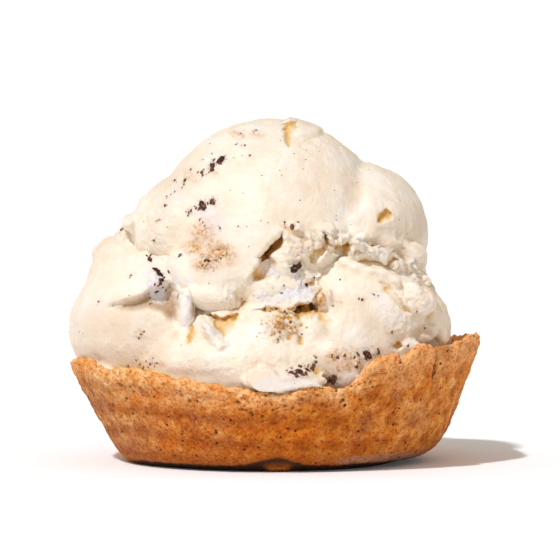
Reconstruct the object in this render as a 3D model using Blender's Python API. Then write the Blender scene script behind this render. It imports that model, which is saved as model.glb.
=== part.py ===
"""A baked waffle bowl heaped with two scoops of cookie ice cream.

The bowl is a drum turned round the upright axis and then shaped: its wall flares, its rim rises and dips, and a
fold in the baked sheet leaves a crack beside the highest stretch. The bottom scoop fills the bowl and swells over
the rim. The top scoop is pressed into it, with a lobe rolled over on its right and a torn, lumpy foot. Pieces of
cookie sit in pockets of both scoops, and the crumbs that show are fused to the scoop they lie on.

Sizes are in millimetres and become metres where a mesh is made. The origin is the middle of the bowl's underside,
+Z is up and -Y is the front. An azimuth starts at the front and grows towards +X.
"""

import math
from collections import namedtuple

import bmesh
import bpy
import numpy as np
from mathutils import Matrix, Vector, noise
from mathutils.bvhtree import BVHTree

MM = 0.001
GAP = 0.36  # between two solids that touch

# The drum that becomes the bowl
DRUM_RADIUS = 50.0
DRUM_HEIGHT = 30.0
WALL = 3.8
FLOOR = 4.0
DRUM_STEPS = 96

# The bowl on its four sides: front, right, back, left
BASE_RADIUS = (36.4, 33.0, 34.6, 37.4)
BASE_ROUNDING = (1.4, 8.0, 3.0, 0.9)
WALL_FLARE = (0.455, 0.340, 0.385, 0.475)
ROUNDING_HEIGHT = 2.3

# The rim's height at each azimuth, in degrees
RIM = (
    (-90, 25.2),
    (-67, 26.7),
    (-56, 24.8),
    (-45, 25.3),
    (-34, 23.9),
    (-20, 22.0),
    (0, 20.0),
    (12, 21.8),
    (18, 20.9),
    (23, 21.6),
    (28, 26.2),
    (33, 28.4),
    (46, 30.4),
    (55, 28.7),
    (63, 30.8),
    (79, 32.5),
    (93, 31.2),
    (122, 28.8),
    (150, 27.3),
    (178, 29.0),
    (205, 27.4),
    (236, 26.0),
)
FOLD_AZIMUTH = 55.0
FOLD_STEP = 1.3
FOLD_REACH = 9.0
CRACK_DEPTH = 1.8
CRACK_HALF_WIDTH = 3.2
CRACK_LENGTH = 11.0

# One rounded mass: its centre, its half-sizes along X, Y and Z, and its turn about Y in degrees
Mass = namedtuple("Mass", "centre radii turn", defaults=(0,))

TOP_HEART = (3.0, 0.0, 56.0)
TOP_SEAT = 38.0
TOP_MASSES = (
    Mass((-0.8, -1.0, 55.8), (29.8, 30.0, 30.0)),  # the ball
    Mass((20.6, 0.0, 56.6), (18.0, 25.0, 18.0)),  # the lobe rolled over on the right
    Mass((3.0, 12.0, 52.0), (25.0, 22.0, 25.0)),  # the back
    Mass((-16.0, -24.0, 42.6), (8.6, 5.4, 3.6), 14),  # the lip on the left
    Mass((3.6, -26.0, 45.4), (9.0, 5.0, 5.4), -10),  # the melted lip in the middle
    Mass((13.0, -24.0, 57.2), (5.2, 4.4, 3.6)),  # from here to the right, the torn foot
    Mass((21.6, -23.4, 55.6), (5.2, 4.6, 3.8)),
    Mass((27.6, -21.0, 53.4), (4.8, 4.6, 3.8)),
    Mass((32.4, -17.6, 50.8), (5.2, 5.0, 4.6)),
    Mass((35.2, -15.0, 46.4), (5.0, 5.0, 4.8)),
)
TOP_HOLLOWS = (
    Mass((-1.9, -30.6, 54.6), (2.5, 4.6, 5.6), 40),  # the tear
    Mass((13.4, -27.0, 52.4), (3.8, 3.4, 1.9)),  # the gap under the torn foot
)

BOTTOM_HEART = (-3.0, 0.0, 15.0)
BOTTOM_MASSES = (
    Mass((10.4, 2.0, 27.0), (33.0, 40.5, 28.0)),  # right and back
    Mass((19.2, -11.0, 37.0), (22.0, 23.0, 19.0)),  # the smooth face at the front right
    Mass((-22.2, -2.0, 33.0), (29.0, 27.0, 22.5)),  # left
    Mass((-33.8, 0.0, 44.5), (13.2, 13.0, 10.8)),  # the left shoulder
    Mass((-39.8, 1.0, 50.2), (5.8, 9.0, 5.6)),
    Mass((-27.8, 2.0, 57.2), (10.2, 16.0, 10.2)),  # the torn ridge beside the ball
    Mass((-18.0, 13.0, 31.0), (29.0, 27.0, 23.0)),  # back left
    Mass((-3.5, -15.0, 24.5), (32.0, 26.0, 18.5)),  # the front
    Mass((-21.4, -29.6, 37.4), (1.9, 3.0, 5.6), 5),  # the drip under the lip
    Mass((37.0, -15.0, 39.6), (4.8, 4.6, 5.4)),  # the foot's last lumps, down to the rim
    Mass((39.6, -11.5, 34.2), (3.8, 4.4, 4.6)),
    Mass((2.4, -41.6, 22.6), (10.6, 4.4, 3.2)),  # the pool of melted cream behind the low rim
)
BOTTOM_HOLLOWS = (
    Mass((-17.8, -32.6, 38.0), (2.7, 3.6, 3.0)),  # the pocket between the drip and the lip
    Mass((-12.0, -36.4, 34.6), (3.0, 3.8, 4.2), 24),  # the pocket right of it
    Mass((8.4, -33.6, 39.8), (4.0, 3.8, 2.4), -20),  # the hole beside the large cookie piece
)
FILL_BELOW_RIM = (2.2, 5.2, 3.0, 1.4)
MASS_BLEND = 2.4
HOLLOW_BLEND = 1.5
SURFACE_ROUGHNESS = 0.35
ROUGHNESS_SPACING = 7.0

# Pieces of cookie: the scoop each is in, where it shows (x and height from the front, or azimuth and height),
# its half-length, half-width and how far it stands out
Piece = namedtuple("Piece", "scoop seen across up half_length half_width proud turn")
COOKIE_PIECES = (
    Piece("bottom_scoop", "front", -29.2, 48.2, 6.0, 2.6, 1.0, 66),
    Piece("bottom_scoop", "front", 13.4, 38.4, 4.2, 3.2, 0.9, 20),
    Piece("bottom_scoop", "front", 1.0, 35.0, 5.0, 3.6, 0.7, -10),
    Piece("bottom_scoop", "front", 17.2, 29.0, 4.8, 3.0, 0.8, 12),
    Piece("top_scoop", "front", -17.0, 55.4, 4.8, 3.6, 0.5, 60),
    Piece("top_scoop", "front", 5.8, 49.4, 3.6, 2.2, 0.9, 30),
    Piece("bottom_scoop", "round", 148, 40.0, 5.0, 3.4, 0.9, 25),
    Piece("top_scoop", "round", 196, 62.0, 4.6, 3.2, 0.9, -35),
)

# Crumbs seen from the front: x, height, half-length
TOP_CRUMBS = (
    (-13.1, 75.3, 1.0),
    (-15.3, 73.4, 1.2),
    (-18.0, 71.8, 1.0),
    (-21.4, 70.0, 0.9),
    (-15.2, 65.0, 1.1),
    (-18.0, 64.0, 1.3),
    (4.6, 59.4, 0.9),
    (-23.0, 52.0, 0.8),
)
BOTTOM_CRUMBS = (
    (4.8, 26.4, 1.7),
    (8.6, 26.8, 1.2),
    (23.4, 29.2, 1.2),
    (26.2, 30.6, 1.3),
    (-32.0, 34.4, 0.9),
    (-24.2, 32.6, 1.0),
    (25.6, 39.6, 0.8),
)
BACK_CRUMBS = 9  # on each scoop, round the sides and back
CRUMB_PROUD = 0.35

SCOOP_FACES_KEPT = 0.13
CREAM = (0.93, 0.86, 0.72, 1)
BISCUIT = (0.62, 0.33, 0.13, 1)
COOKIE = (0.22, 0.10, 0.045, 1)


def clear_scene():
    for found in list(bpy.data.objects):
        bpy.data.objects.remove(found)


def material(name, colour, roughness):
    made = bpy.data.materials.new(name)
    made.use_nodes = True
    shader = made.node_tree.nodes["Principled BSDF"]
    shader.inputs["Base Color"].default_value = colour
    shader.inputs["Roughness"].default_value = roughness
    shader.inputs["Metallic"].default_value = 0.0
    made.diffuse_color = colour
    return made


def object_from(shape, name, finish=None):
    """A scene object of the bmesh, whose coordinates are millimetres."""
    bmesh.ops.scale(shape, vec=(MM, MM, MM), verts=shape.verts)
    bmesh.ops.recalc_face_normals(shape, faces=shape.faces)
    mesh = bpy.data.meshes.new(name)
    shape.to_mesh(mesh)
    shape.free()
    mesh.shade_smooth()
    mesh.set_sharp_from_angle(angle=math.radians(40))
    if finish:
        mesh.materials.append(finish)
    made = bpy.data.objects.new(name, mesh)
    bpy.context.scene.collection.objects.link(made)
    return made


def helper(made):
    """Keeps a cutter or a guide out of the model."""
    made.hide_render = True
    made.display_type = "WIRE"
    return made


def around(azimuth, sides):
    """A size that changes smoothly round the bowl, from its values at the front, right, back and left."""
    ahead, aside = np.cos(azimuth), np.sin(azimuth)
    front, right, back, left = sides
    return (
        front * np.maximum(ahead, 0) ** 2
        + back * np.minimum(ahead, 0) ** 2
        + right * np.maximum(aside, 0) ** 2
        + left * np.minimum(aside, 0) ** 2
    )


def rim_height(azimuth):
    """A smooth closed curve through the rim's stations."""
    turn = 360.0
    stations = np.array([s[0] for s in RIM], float)
    heights = np.array([s[1] for s in RIM], float)
    wanted = (np.degrees(azimuth) - stations[0]) % turn + stations[0]
    place = np.searchsorted(stations, wanted, side="right") - 1
    after = (place + 1) % len(stations)
    width = (stations[after] - stations[place]) % turn
    slope = (np.roll(heights, -1) - np.roll(heights, 1)) / (
        (np.roll(stations, -1) - np.roll(stations, 1)) % turn
    )
    t = (wanted - stations[place]) / width
    return (
        heights[place] * (1 + 2 * t) * (1 - t) ** 2
        + heights[after] * t * t * (3 - 2 * t)
        + slope[place] * width * t * (1 - t) ** 2
        - slope[after] * width * t * t * (1 - t)
    )


def outer_radius(azimuth, height):
    """The wall's outer face: a rounded foot, a straight flare, and the fold where the sheet laps itself."""
    share = np.clip(height / rim_height(azimuth), 0, 1)
    radius = (
        around(azimuth, BASE_RADIUS)
        + around(azimuth, BASE_ROUNDING) * (1 - np.exp(-height / ROUNDING_HEIGHT))
        + around(azimuth, WALL_FLARE) * height
    )
    past_fold = np.degrees(azimuth) - FOLD_AZIMUTH
    lap = -FOLD_STEP * np.tanh(past_fold / 2) * np.exp(-np.abs(past_fold) / FOLD_REACH)
    waves = 0.35 * np.sin(5 * azimuth + 0.8) + 0.25 * np.sin(11 * azimuth)
    return radius + share**2 * (lap + waves)


def crack_depth(azimuth, height):
    past = (np.degrees(azimuth) - FOLD_AZIMUTH) / CRACK_HALF_WIDTH
    up = np.clip(1 - (rim_height(azimuth) - height) / CRACK_LENGTH, 0, 1)
    return CRACK_DEPTH * np.exp(-past * past) * up


def shape_drum(points):
    """Moves the drum's points to where they lie on the bowl."""
    azimuth = np.arctan2(points[:, 0], -points[:, 1])
    radius = np.hypot(points[:, 0], points[:, 1])
    stretch = (rim_height(azimuth) - FLOOR) / (DRUM_HEIGHT - FLOOR)
    height = np.where(
        points[:, 2] > FLOOR, FLOOR + (points[:, 2] - FLOOR) * stretch, points[:, 2]
    )
    outer = outer_radius(azimuth, height) - crack_depth(azimuth, height)
    depth = DRUM_RADIUS - radius
    inside = radius / (DRUM_RADIUS - WALL) * (outer - WALL)
    shaped = np.where(depth <= WALL, outer - depth, inside)
    return np.column_stack(
        (shaped * np.sin(azimuth), -shaped * np.cos(azimuth), height)
    )


def drum_profile():
    """The drum's half section as radius and height, from the axis underneath round to the axis inside."""
    out, inner = DRUM_RADIUS, DRUM_RADIUS - WALL
    underside = [(0, 0), (out * 0.5, 0), (out - 1, 0)]
    wall = [(out, z) for z in (0.5, 2, 4, 7, 11, 15, 19, 23, 26.5)]
    lip = [
        (out - 0.1, 28.3),
        (out - 0.9, 29.6),
        (out - 0.5 * WALL, 30),
        (out - WALL + 0.8, 29.5),
        (inner + 0.1, 28),
    ]
    inside = [(inner, 22), (inner, 13), (inner - 0.5, 7.5), (inner - 4, FLOOR)]
    return underside + wall + lip + inside + [(out * 0.4, FLOOR), (0, FLOOR)]


def build_bowl(finish):
    shape = bmesh.new()
    corners = [shape.verts.new((0, -r, z)) for r, z in drum_profile()]
    edges = [shape.edges.new(pair) for pair in zip(corners, corners[1:])]
    bmesh.ops.spin(
        shape,
        geom=corners + edges,
        cent=(0, 0, 0),
        axis=(0, 0, 1),
        angle=math.tau,
        steps=DRUM_STEPS,
        use_merge=True,
    )
    bmesh.ops.remove_doubles(shape, verts=shape.verts, dist=0.001)
    placed = shape_drum(np.array([v.co for v in shape.verts]))
    for vertex, place in zip(shape.verts, placed):
        vertex.co = place
    for vertex in shape.verts:
        if vertex.co.z > FLOOR:
            crag = noise.noise(vertex.co / 4.0) * 0.35
            vertex.co.z += crag
    return object_from(shape, "waffle_bowl", finish)


def outside_mass(points, mass):
    """How far each point lies outside the mass, in millimetres, and below zero inside."""
    angle = math.radians(mass.turn)
    away = points - np.array(mass.centre)
    across = away[:, 0] * math.cos(angle) - away[:, 2] * math.sin(angle)
    up = away[:, 0] * math.sin(angle) + away[:, 2] * math.cos(angle)
    local = np.column_stack((across, away[:, 1], up))
    radii = np.array(mass.radii)
    share = np.linalg.norm(local / radii, axis=1)
    slope = np.linalg.norm(local / radii**2, axis=1)
    return share * (share - 1) / np.maximum(slope, 1e-6)


def blend_lowest(a, b, width):
    near = np.maximum(width - np.abs(a - b), 0) / width
    return np.minimum(a, b) - near * near * width / 4


def outside_cream(points, masses, hollows):
    """How far each point lies outside the blended masses once the hollows are taken away."""
    found = outside_mass(points, masses[0])
    for mass in masses[1:]:
        found = blend_lowest(found, outside_mass(points, mass), MASS_BLEND)
    for hollow in hollows:
        found = -blend_lowest(-found, outside_mass(points, hollow), HOLLOW_BLEND)
    return found


def outside_top(points):
    return np.maximum(
        outside_cream(points, TOP_MASSES, TOP_HOLLOWS), TOP_SEAT - points[:, 2]
    )


def outside_bottom(points):
    """The bottom scoop. Below the rim it reaches to the middle of the bowl's wall, and the bowl is cut out of it."""
    azimuth = np.arctan2(points[:, 0], -points[:, 1])
    radius = np.hypot(points[:, 0], points[:, 1])
    height = np.maximum(points[:, 2], 0)
    wall_middle = outer_radius(azimuth, height) - WALL / 2
    past_wall = radius - wall_middle
    rim = rim_height(azimuth)
    fill = np.maximum(past_wall, points[:, 2] - rim + around(azimuth, FILL_BELOW_RIM))
    heap = outside_cream(points, BOTTOM_MASSES, BOTTOM_HOLLOWS)
    heap = np.where(points[:, 2] < rim, np.maximum(heap, past_wall), heap)
    return np.maximum(np.minimum(fill, heap), FLOOR / 2 - points[:, 2])


def reach_along(directions, heart, outside):
    """How far each ray from the heart goes before it leaves the scoop for good."""
    step, furthest = 0.4, 72.0
    reach = np.full(len(directions), step)
    beyond = np.full(len(directions), np.nan)
    found = np.zeros(len(directions), bool)
    for distance in np.arange(furthest, 0, -step):
        depth = outside(np.array(heart) + directions * distance)
        arrives = (depth <= 0) & ~found
        share = np.where(arrives, -depth / np.maximum(beyond - depth, 1e-9), 0)
        reach = np.where(arrives, distance + np.clip(share, 0, 1) * step, reach)
        found |= arrives
        beyond = depth
    return reach


def roughness_at(point):
    place = Vector(point) / ROUGHNESS_SPACING
    return SURFACE_ROUGHNESS * noise.fractal(place, 1.0, 2.0, 3)


def build_scoop(name, heart, outside, finish):
    """A ball whose points are moved along their rays from the heart to the scoop's skin."""
    shape = bmesh.new()
    bmesh.ops.create_icosphere(shape, subdivisions=6, radius=1)
    directions = np.array([v.co.normalized() for v in shape.verts])
    reach = reach_along(directions, heart, outside)
    for vertex, direction, distance in zip(shape.verts, directions, reach):
        place = np.array(heart) + direction * distance
        seated = name == "top_scoop" and place[2] < TOP_SEAT + 0.05
        rough = 0 if seated else roughness_at(place)
        vertex.co = place + direction * rough
    made = object_from(shape, name, finish)
    fewer = made.modifiers.new("fewer faces", "DECIMATE")
    fewer.ratio = SCOOP_FACES_KEPT
    apply_modifiers(made)
    return made


def apply_modifiers(made):
    graph = bpy.context.evaluated_depsgraph_get()
    mesh = bpy.data.meshes.new_from_object(made.evaluated_get(graph), depsgraph=graph)
    made.modifiers.clear()
    spent = made.data
    made.data = mesh
    bpy.data.meshes.remove(spent)


def grown_copy(made, distance):
    """A helper the shape of the object, its faces moved out by the distance."""
    shape = bmesh.new()
    shape.from_mesh(made.data)
    shape.normal_update()
    moves = [vertex.normal * distance * MM for vertex in shape.verts]
    for vertex, move in zip(shape.verts, moves):
        vertex.co += move
    mesh = bpy.data.meshes.new(made.name + "_clearance")
    shape.to_mesh(mesh)
    shape.free()
    grown = bpy.data.objects.new(mesh.name, mesh)
    bpy.context.scene.collection.objects.link(grown)
    return helper(grown)


def boolean(made, operation, others, solver="EXACT"):
    """Joins the others to the object, or cuts them out of it, and removes them."""
    group = bpy.data.collections.new("spent")
    bpy.context.scene.collection.children.link(group)
    for other in others:
        group.objects.link(other)
        bpy.context.scene.collection.objects.unlink(other)
    step = made.modifiers.new(operation, "BOOLEAN")
    step.operation = operation
    step.operand_type = "COLLECTION"
    step.collection = group
    step.solver = solver
    apply_modifiers(made)
    for other in others:
        bpy.data.objects.remove(other)
    bpy.data.collections.remove(group)


def surface_of(made):
    graph = bpy.context.evaluated_depsgraph_get()
    return BVHTree.FromObject(made, graph)


def seen_point(tree, seen, across, up):
    """Where the scoop shows at that place, in millimetres, and the way its surface faces."""
    far = 120.0
    if seen == "front":
        start, aim = Vector((across, -far, up)), Vector((0, 1, 0))
    else:
        azimuth = math.radians(across)
        away = Vector((math.sin(azimuth), -math.cos(azimuth), 0))
        start, aim = away * far + Vector((0, 0, up)), -away
    hit, normal, _, _ = tree.ray_cast(start * MM, aim)
    return hit / MM, normal


def lump(name, half_sizes, detail, finish, seed):
    """An angular lump of baked cookie, longer along its own X and thin along its own Z."""
    shape = bmesh.new()
    bmesh.ops.create_icosphere(shape, subdivisions=detail, radius=1)
    start = Vector((seed * 7.3, seed * 2.9, 0))
    for vertex in shape.verts:
        vertex.co *= 1 + 0.32 * noise.noise(vertex.co * 1.4 + start)
    bmesh.ops.scale(shape, vec=half_sizes, verts=shape.verts)
    return object_from(shape, name, finish)


def lay_on_surface(made, place, normal, turn):
    """Turns the lump so that its thin way lies along the surface's normal, and bakes its place into its mesh."""
    level = Vector((0, 0, 1)).cross(normal).normalized()
    upward = normal.cross(level)
    lie = Matrix((level, upward, normal)).transposed().to_4x4()
    spin = Matrix.Rotation(math.radians(turn), 4, "Z")
    made.data.transform(Matrix.Translation(place * MM) @ lie @ spin)
    return made


def build_cookie_pieces(scoops, finish):
    """The pieces large enough to be picked out, each in a pocket a little larger than itself."""
    pieces, pockets = [], {name: [] for name in scoops}
    for number, piece in enumerate(COOKIE_PIECES, 1):
        tree = surface_of(scoops[piece.scoop])
        place, normal = seen_point(tree, piece.seen, piece.across, piece.up)
        thickness = 0.62 * piece.half_width
        sizes = (piece.half_length, piece.half_width, thickness)
        made = lump(f"cookie_piece_{number}", sizes, 2, finish, number)
        lay_on_surface(
            made, place + normal * (piece.proud - thickness), normal, piece.turn
        )
        pieces.append(made)
        pockets[piece.scoop].append(grown_copy(made, GAP))
    for name, cutters in pockets.items():
        boolean(scoops[name], "DIFFERENCE", cutters)
    return pieces


def crumb_places(tree, front, seed, low, high, pieces):
    """The places chosen on the front, then places drawn round the sides and back, clear of the cookie pieces."""
    places = [(*seen_point(tree, "front", x, z), size) for x, z, size in front]
    draw = np.random.default_rng(seed)
    while len(places) < len(front) + BACK_CRUMBS:
        azimuth = draw.uniform(70, 290)
        place, normal = seen_point(tree, "round", azimuth, draw.uniform(low, high))
        clear = all(
            (place * MM - piece.data.vertices[0].co).length > 9 * MM for piece in pieces
        )
        if clear and normal.z > -0.2:
            places.append((place, normal, draw.uniform(0.8, 1.5)))
    return places


def fuse_crumbs(scoop, front, seed, low, high, pieces):
    """Crumbs half sunk in the scoop and made one with it."""
    crumbs = []
    places = crumb_places(surface_of(scoop), front, seed, low, high, pieces)
    for number, (place, normal, size) in enumerate(places):
        sizes = (size, size * 0.7, size * 0.6)
        crumb = lump(f"crumb_{seed}_{number}", sizes, 1, None, seed + number)
        sunk = place + normal * (CRUMB_PROUD - 0.5 * size)
        crumbs.append(lay_on_surface(crumb, sunk, normal, 47 * number))
    boolean(scoop, "UNION", crumbs, solver="MANIFOLD")


def main():
    clear_scene()
    biscuit = material("baked biscuit", BISCUIT, 0.85)
    cream = material("ice cream", CREAM, 0.45)
    cookie = material("cookie", COOKIE, 0.9)
    bowl = build_bowl(biscuit)
    top = build_scoop("top_scoop", TOP_HEART, outside_top, cream)
    bottom = build_scoop("bottom_scoop", BOTTOM_HEART, outside_bottom, cream)
    boolean(bottom, "DIFFERENCE", [grown_copy(top, GAP)])
    boolean(bottom, "DIFFERENCE", [grown_copy(bowl, GAP)])
    scoops = {"top_scoop": top, "bottom_scoop": bottom}
    pieces = build_cookie_pieces(scoops, cookie)
    fuse_crumbs(top, TOP_CRUMBS, 11, 58, 80, pieces)
    fuse_crumbs(bottom, BOTTOM_CRUMBS, 23, 33, 46, pieces)


main()
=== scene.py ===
"""Cookie ice cream heaped in a baked waffle bowl.

Sizes are in millimetres. The middle of the bowl's underside is the origin, +Z is up and -Y is the front.
Places on the front are given as (across, up), in millimetres in the upright plane through the bowl's
middle, as the camera sees it.
"""

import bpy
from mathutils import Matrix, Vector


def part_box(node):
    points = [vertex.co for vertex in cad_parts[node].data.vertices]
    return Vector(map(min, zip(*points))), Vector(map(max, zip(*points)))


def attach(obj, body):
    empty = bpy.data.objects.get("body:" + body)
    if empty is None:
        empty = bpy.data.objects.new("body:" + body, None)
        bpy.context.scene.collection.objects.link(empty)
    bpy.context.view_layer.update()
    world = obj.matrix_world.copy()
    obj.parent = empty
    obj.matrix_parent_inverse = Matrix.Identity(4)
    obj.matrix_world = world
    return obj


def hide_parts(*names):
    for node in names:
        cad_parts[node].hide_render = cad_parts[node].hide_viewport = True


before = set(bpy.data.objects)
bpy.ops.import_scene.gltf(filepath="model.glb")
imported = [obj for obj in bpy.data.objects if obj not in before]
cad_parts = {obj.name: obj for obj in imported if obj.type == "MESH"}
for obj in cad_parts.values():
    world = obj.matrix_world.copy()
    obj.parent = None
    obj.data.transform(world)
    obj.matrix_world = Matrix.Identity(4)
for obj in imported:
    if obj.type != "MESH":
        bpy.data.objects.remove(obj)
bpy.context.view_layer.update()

import math

import bmesh
import bpy
import numpy as np
from mathutils import Matrix, Vector, noise
from mathutils.bvhtree import BVHTree

# ----------------------------------------
# The table, the light and the camera
# A wide white board under one large lamp high on the left, in a white room. It isn't part of the dessert.

MM = 0.001
CAMERA_PLACE = Vector((1.4, -1000.0, 87.0))
CAMERA_AIM = Vector((1.4, 0.0, 45.0))
CAMERA_LENS = 257.4  # 140 mm of the dessert fill the picture's width
LAMP_TRAVEL = Vector((0.42, 0.64, -1.0))
LAMP_STRENGTH = 2.37
LAMP_WIDTH = 3.0  # degrees
ROOM_LIGHT = 0.50
BOARD_WIDTH = 9000.0


def linear(code):
    """The linear colour of an sRGB hex code."""
    parts = [int(code[i : i + 2], 16) / 255 for i in (1, 3, 5)]
    return tuple(c / 12.92 if c <= 0.04045 else ((c + 0.055) / 1.055) ** 2.4 for c in parts) + (1.0,)


def add(tree, kind, links=(), stops=(), **settings):
    """Adds a node, with its settings, its colour stops, and a value, socket or node for each input named.

    A node is joined by the first of its outputs that is in use.
    """
    made = tree.nodes.new("ShaderNode" + kind)
    for name, value in settings.items():
        setattr(made, name, value)
    for place, value in dict(links).items():
        if isinstance(value, bpy.types.Node):
            value = next(socket for socket in value.outputs if socket.enabled)
        if isinstance(value, bpy.types.NodeSocket):
            tree.links.new(value, made.inputs[place])
        else:
            made.inputs[place].default_value = value
    for number, (place, colour) in enumerate(stops):
        if number > 1:
            made.color_ramp.elements.new(place)
        made.color_ramp.elements[number].position = place
        made.color_ramp.elements[number].color = linear(colour)
    return made


def finish_of(name):
    """A new material and its empty node tree."""
    made = bpy.data.materials.new(name)
    made.use_nodes = True
    made.node_tree.nodes.clear()
    return made, made.node_tree


def object_of(shape, name):
    """Makes a smooth object of the bmesh, from millimetres, at the origin."""
    bmesh.ops.scale(shape, vec=(MM, MM, MM), verts=shape.verts)
    mesh = bpy.data.meshes.new(name)
    shape.to_mesh(mesh)
    shape.free()
    mesh.shade_smooth()
    made = bpy.data.objects.new(name, mesh)
    bpy.context.scene.collection.objects.link(made)
    return made


camera = bpy.data.objects.new("camera", bpy.data.cameras.new("camera"))
bpy.context.scene.collection.objects.link(camera)
camera.location = CAMERA_PLACE * MM
camera.rotation_euler = (CAMERA_AIM - CAMERA_PLACE).to_track_quat("-Z", "Y").to_euler()
camera.data.lens = CAMERA_LENS
camera.data.sensor_width = 36.0
camera.data.clip_start = 0.05
camera.data.clip_end = 20.0
bpy.context.scene.camera = camera
bpy.context.scene.view_settings.view_transform = "Standard"

lamp = bpy.data.objects.new("lamp", bpy.data.lights.new("lamp", "SUN"))
bpy.context.scene.collection.objects.link(lamp)
lamp.rotation_euler = LAMP_TRAVEL.to_track_quat("-Z", "Y").to_euler()
lamp.data.energy = LAMP_STRENGTH
lamp.data.angle = math.radians(LAMP_WIDTH)
lamp.data.color = (0.97, 1.0, 1.05)

room = bpy.data.worlds.new("white room")
room.use_nodes = True
tree = room.node_tree
tree.nodes.clear()
way = add(tree, "SeparateXYZ", {0: add(tree, "TexCoord").outputs["Generated"]})
sides = add(tree, "MapRange", {"Value": way.outputs["X"], "From Min": -0.8, "From Max": 0.8,
                               "To Min": 1.04 * ROOM_LIGHT, "To Max": 0.92 * ROOM_LIGHT})
level = add(tree, "Math", {0: way.outputs["Z"]}, operation="ABSOLUTE")
band = add(tree, "MapRange", {"Value": level, "From Min": 0.03, "From Max": 0.10, "To Min": 1.28,
                              "To Max": sides})
sky = add(tree, "Background", {"Strength": band, "Color": (1.0, 0.91, 0.81, 1.0)})
add(tree, "OutputWorld", {"Surface": sky})
bpy.context.scene.world = room

# Opal white sheet with a little light from below, so it's an even white and its shadows are soft and neutral
paint, tree = finish_of("opal white sheet")
place = add(tree, "TexCoord").outputs["Object"]
grain = add(tree, "TexNoise", {"Vector": place, "Scale": 900.0, "Detail": 2.0})
shade = add(tree, "Mix", {0: grain, 6: linear("#FBFCFF"), 7: linear("#FDFEFF")}, data_type="RGBA")
coat = add(tree, "BsdfPrincipled", {"Base Color": shade, "Roughness": 0.85, "Specular IOR Level": 0.2,
                                    "Emission Color": (0.7, 0.9, 1.0, 1.0), "Emission Strength": 0.035})
add(tree, "OutputMaterial", {"Surface": coat})
shape = bmesh.new()
bmesh.ops.create_grid(shape, x_segments=8, y_segments=8, size=BOARD_WIDTH / 2)
board = object_of(shape, "board")
board.data.materials.append(paint)

# ----------------------------------------
# The bowl
# A sweet waffle batter baked as one sheet and pressed hot into a tin, so the waffle's squares are shallow
# dimples, the wall laps itself in a fold at the front right, and the rim is torn, crumbly and more toasted.

DRUM_RADIUS = 50.0
DRUM_HEIGHT = 30.0
MERGE = 0.0005  # points closer than this are one
WALL = 3.8
FLOOR = 4.0
BOWL_STEPS = 720
WALL_ROW = 0.45  # between the rows of points up the wall
BASE_RADIUS = (36.4, 32.8, 34.6, 37.4)  # front, right, back, left
BASE_ROUNDING = (1.4, 8.0, 3.0, 0.9)
WALL_FLARE = (0.455, 0.366, 0.385, 0.555)
ROUNDING_HEIGHT = 2.3
RIM = (  # azimuth from the front, growing towards the right, and height
    (-90, 25.2), (-67, 26.7), (-56, 24.8), (-45, 25.3), (-34, 23.9), (-20, 22.0), (0, 20.0), (12, 21.8),
    (18, 20.9), (22, 21.2), (25.5, 22.8), (27.5, 26.2), (32, 28.3), (37, 29.1), (39.4, 27.9), (41.5, 30.0),
    (45, 30.8), (49, 30.7), (51.6, 29.8), (53, 28.2), (54.4, 25.2), (55.8, 29.2), (57.5, 30.2), (61, 30.2),
    (66, 31.2), (72.5, 32.5), (81, 32.2), (91, 31.2), (104, 30.7), (117, 29.6), (150, 27.6), (178, 29.0),
    (205, 27.4), (236, 26.0),
)
FOLD_AZIMUTH = 54.2
FOLD_STEP = 0.8
FOLD_REACH = 9.0
CRACK_DEPTH = 2.8
CRACK_HALF_WIDTH = 1.6
RIM_CURL = 1.2
RIM_CURL_HEIGHT = 5.0
FOOT_RECESS = 3.0
FOOT_RECESS_HEIGHT = 1.2
CRACK_LENGTH = 8.5
SQUARES_ROUND = 36
SQUARE_ROW = 5.85
FIRST_ROW = 6.6
SQUARE_DEPTH = 0.6
RIM_PITS = 170
BOWL_RIGHT = 51.05  # the furthest that the rim reaches


def around(azimuth, sides):
    """A size that changes smoothly round the bowl, from its values at the front, right, back and left."""
    ahead, aside = np.cos(azimuth), np.sin(azimuth)
    front, right, back, left = sides
    return (front * np.maximum(ahead, 0) ** 2 + back * np.minimum(ahead, 0) ** 2
            + right * np.maximum(aside, 0) ** 2 + left * np.minimum(aside, 0) ** 2)


def rim_height(azimuth):
    """A smooth closed curve through the rim's stations."""
    stations, heights = np.array(RIM, float).T
    wanted = (np.degrees(azimuth) - stations[0]) % 360.0 + stations[0]
    place = np.searchsorted(stations, wanted, side="right") - 1
    after = (place + 1) % len(stations)
    width = (stations[after] - stations[place]) % 360.0
    slope = np.roll(heights, -1) - np.roll(heights, 1)
    slope = slope / ((np.roll(stations, -1) - np.roll(stations, 1)) % 360.0)
    t = (wanted - stations[place]) / width
    return (heights[place] * (1 + 2 * t) * (1 - t) ** 2 + heights[after] * t * t * (3 - 2 * t)
            + slope[place] * width * t * (1 - t) ** 2 - slope[after] * width * t * t * (1 - t))


def outer_radius(azimuth, height):
    """The wall's outer face: a rounded foot, a straight flare, and the fold where the sheet laps itself."""
    share = np.clip(height / rim_height(azimuth), 0, 1)
    rounding = 1 - np.exp(-height / ROUNDING_HEIGHT)
    radius = (around(azimuth, BASE_RADIUS) + around(azimuth, BASE_ROUNDING) * rounding
              + around(azimuth, WALL_FLARE) * height)
    past_fold = np.degrees(azimuth) - FOLD_AZIMUTH
    lap = -FOLD_STEP * np.tanh(past_fold / 0.9) * np.exp(-np.abs(past_fold) / FOLD_REACH)
    waves = 0.35 * np.sin(5 * azimuth + 0.8) + 0.25 * np.sin(11 * azimuth)
    return radius + share**2 * (lap + waves)


def crack_depth(azimuth, height):
    past = (np.degrees(azimuth) - FOLD_AZIMUTH) / CRACK_HALF_WIDTH
    up = np.clip(1 - (rim_height(azimuth) - height) / CRACK_LENGTH, 0, 1)
    return CRACK_DEPTH * np.exp(-past * past) * up


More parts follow.
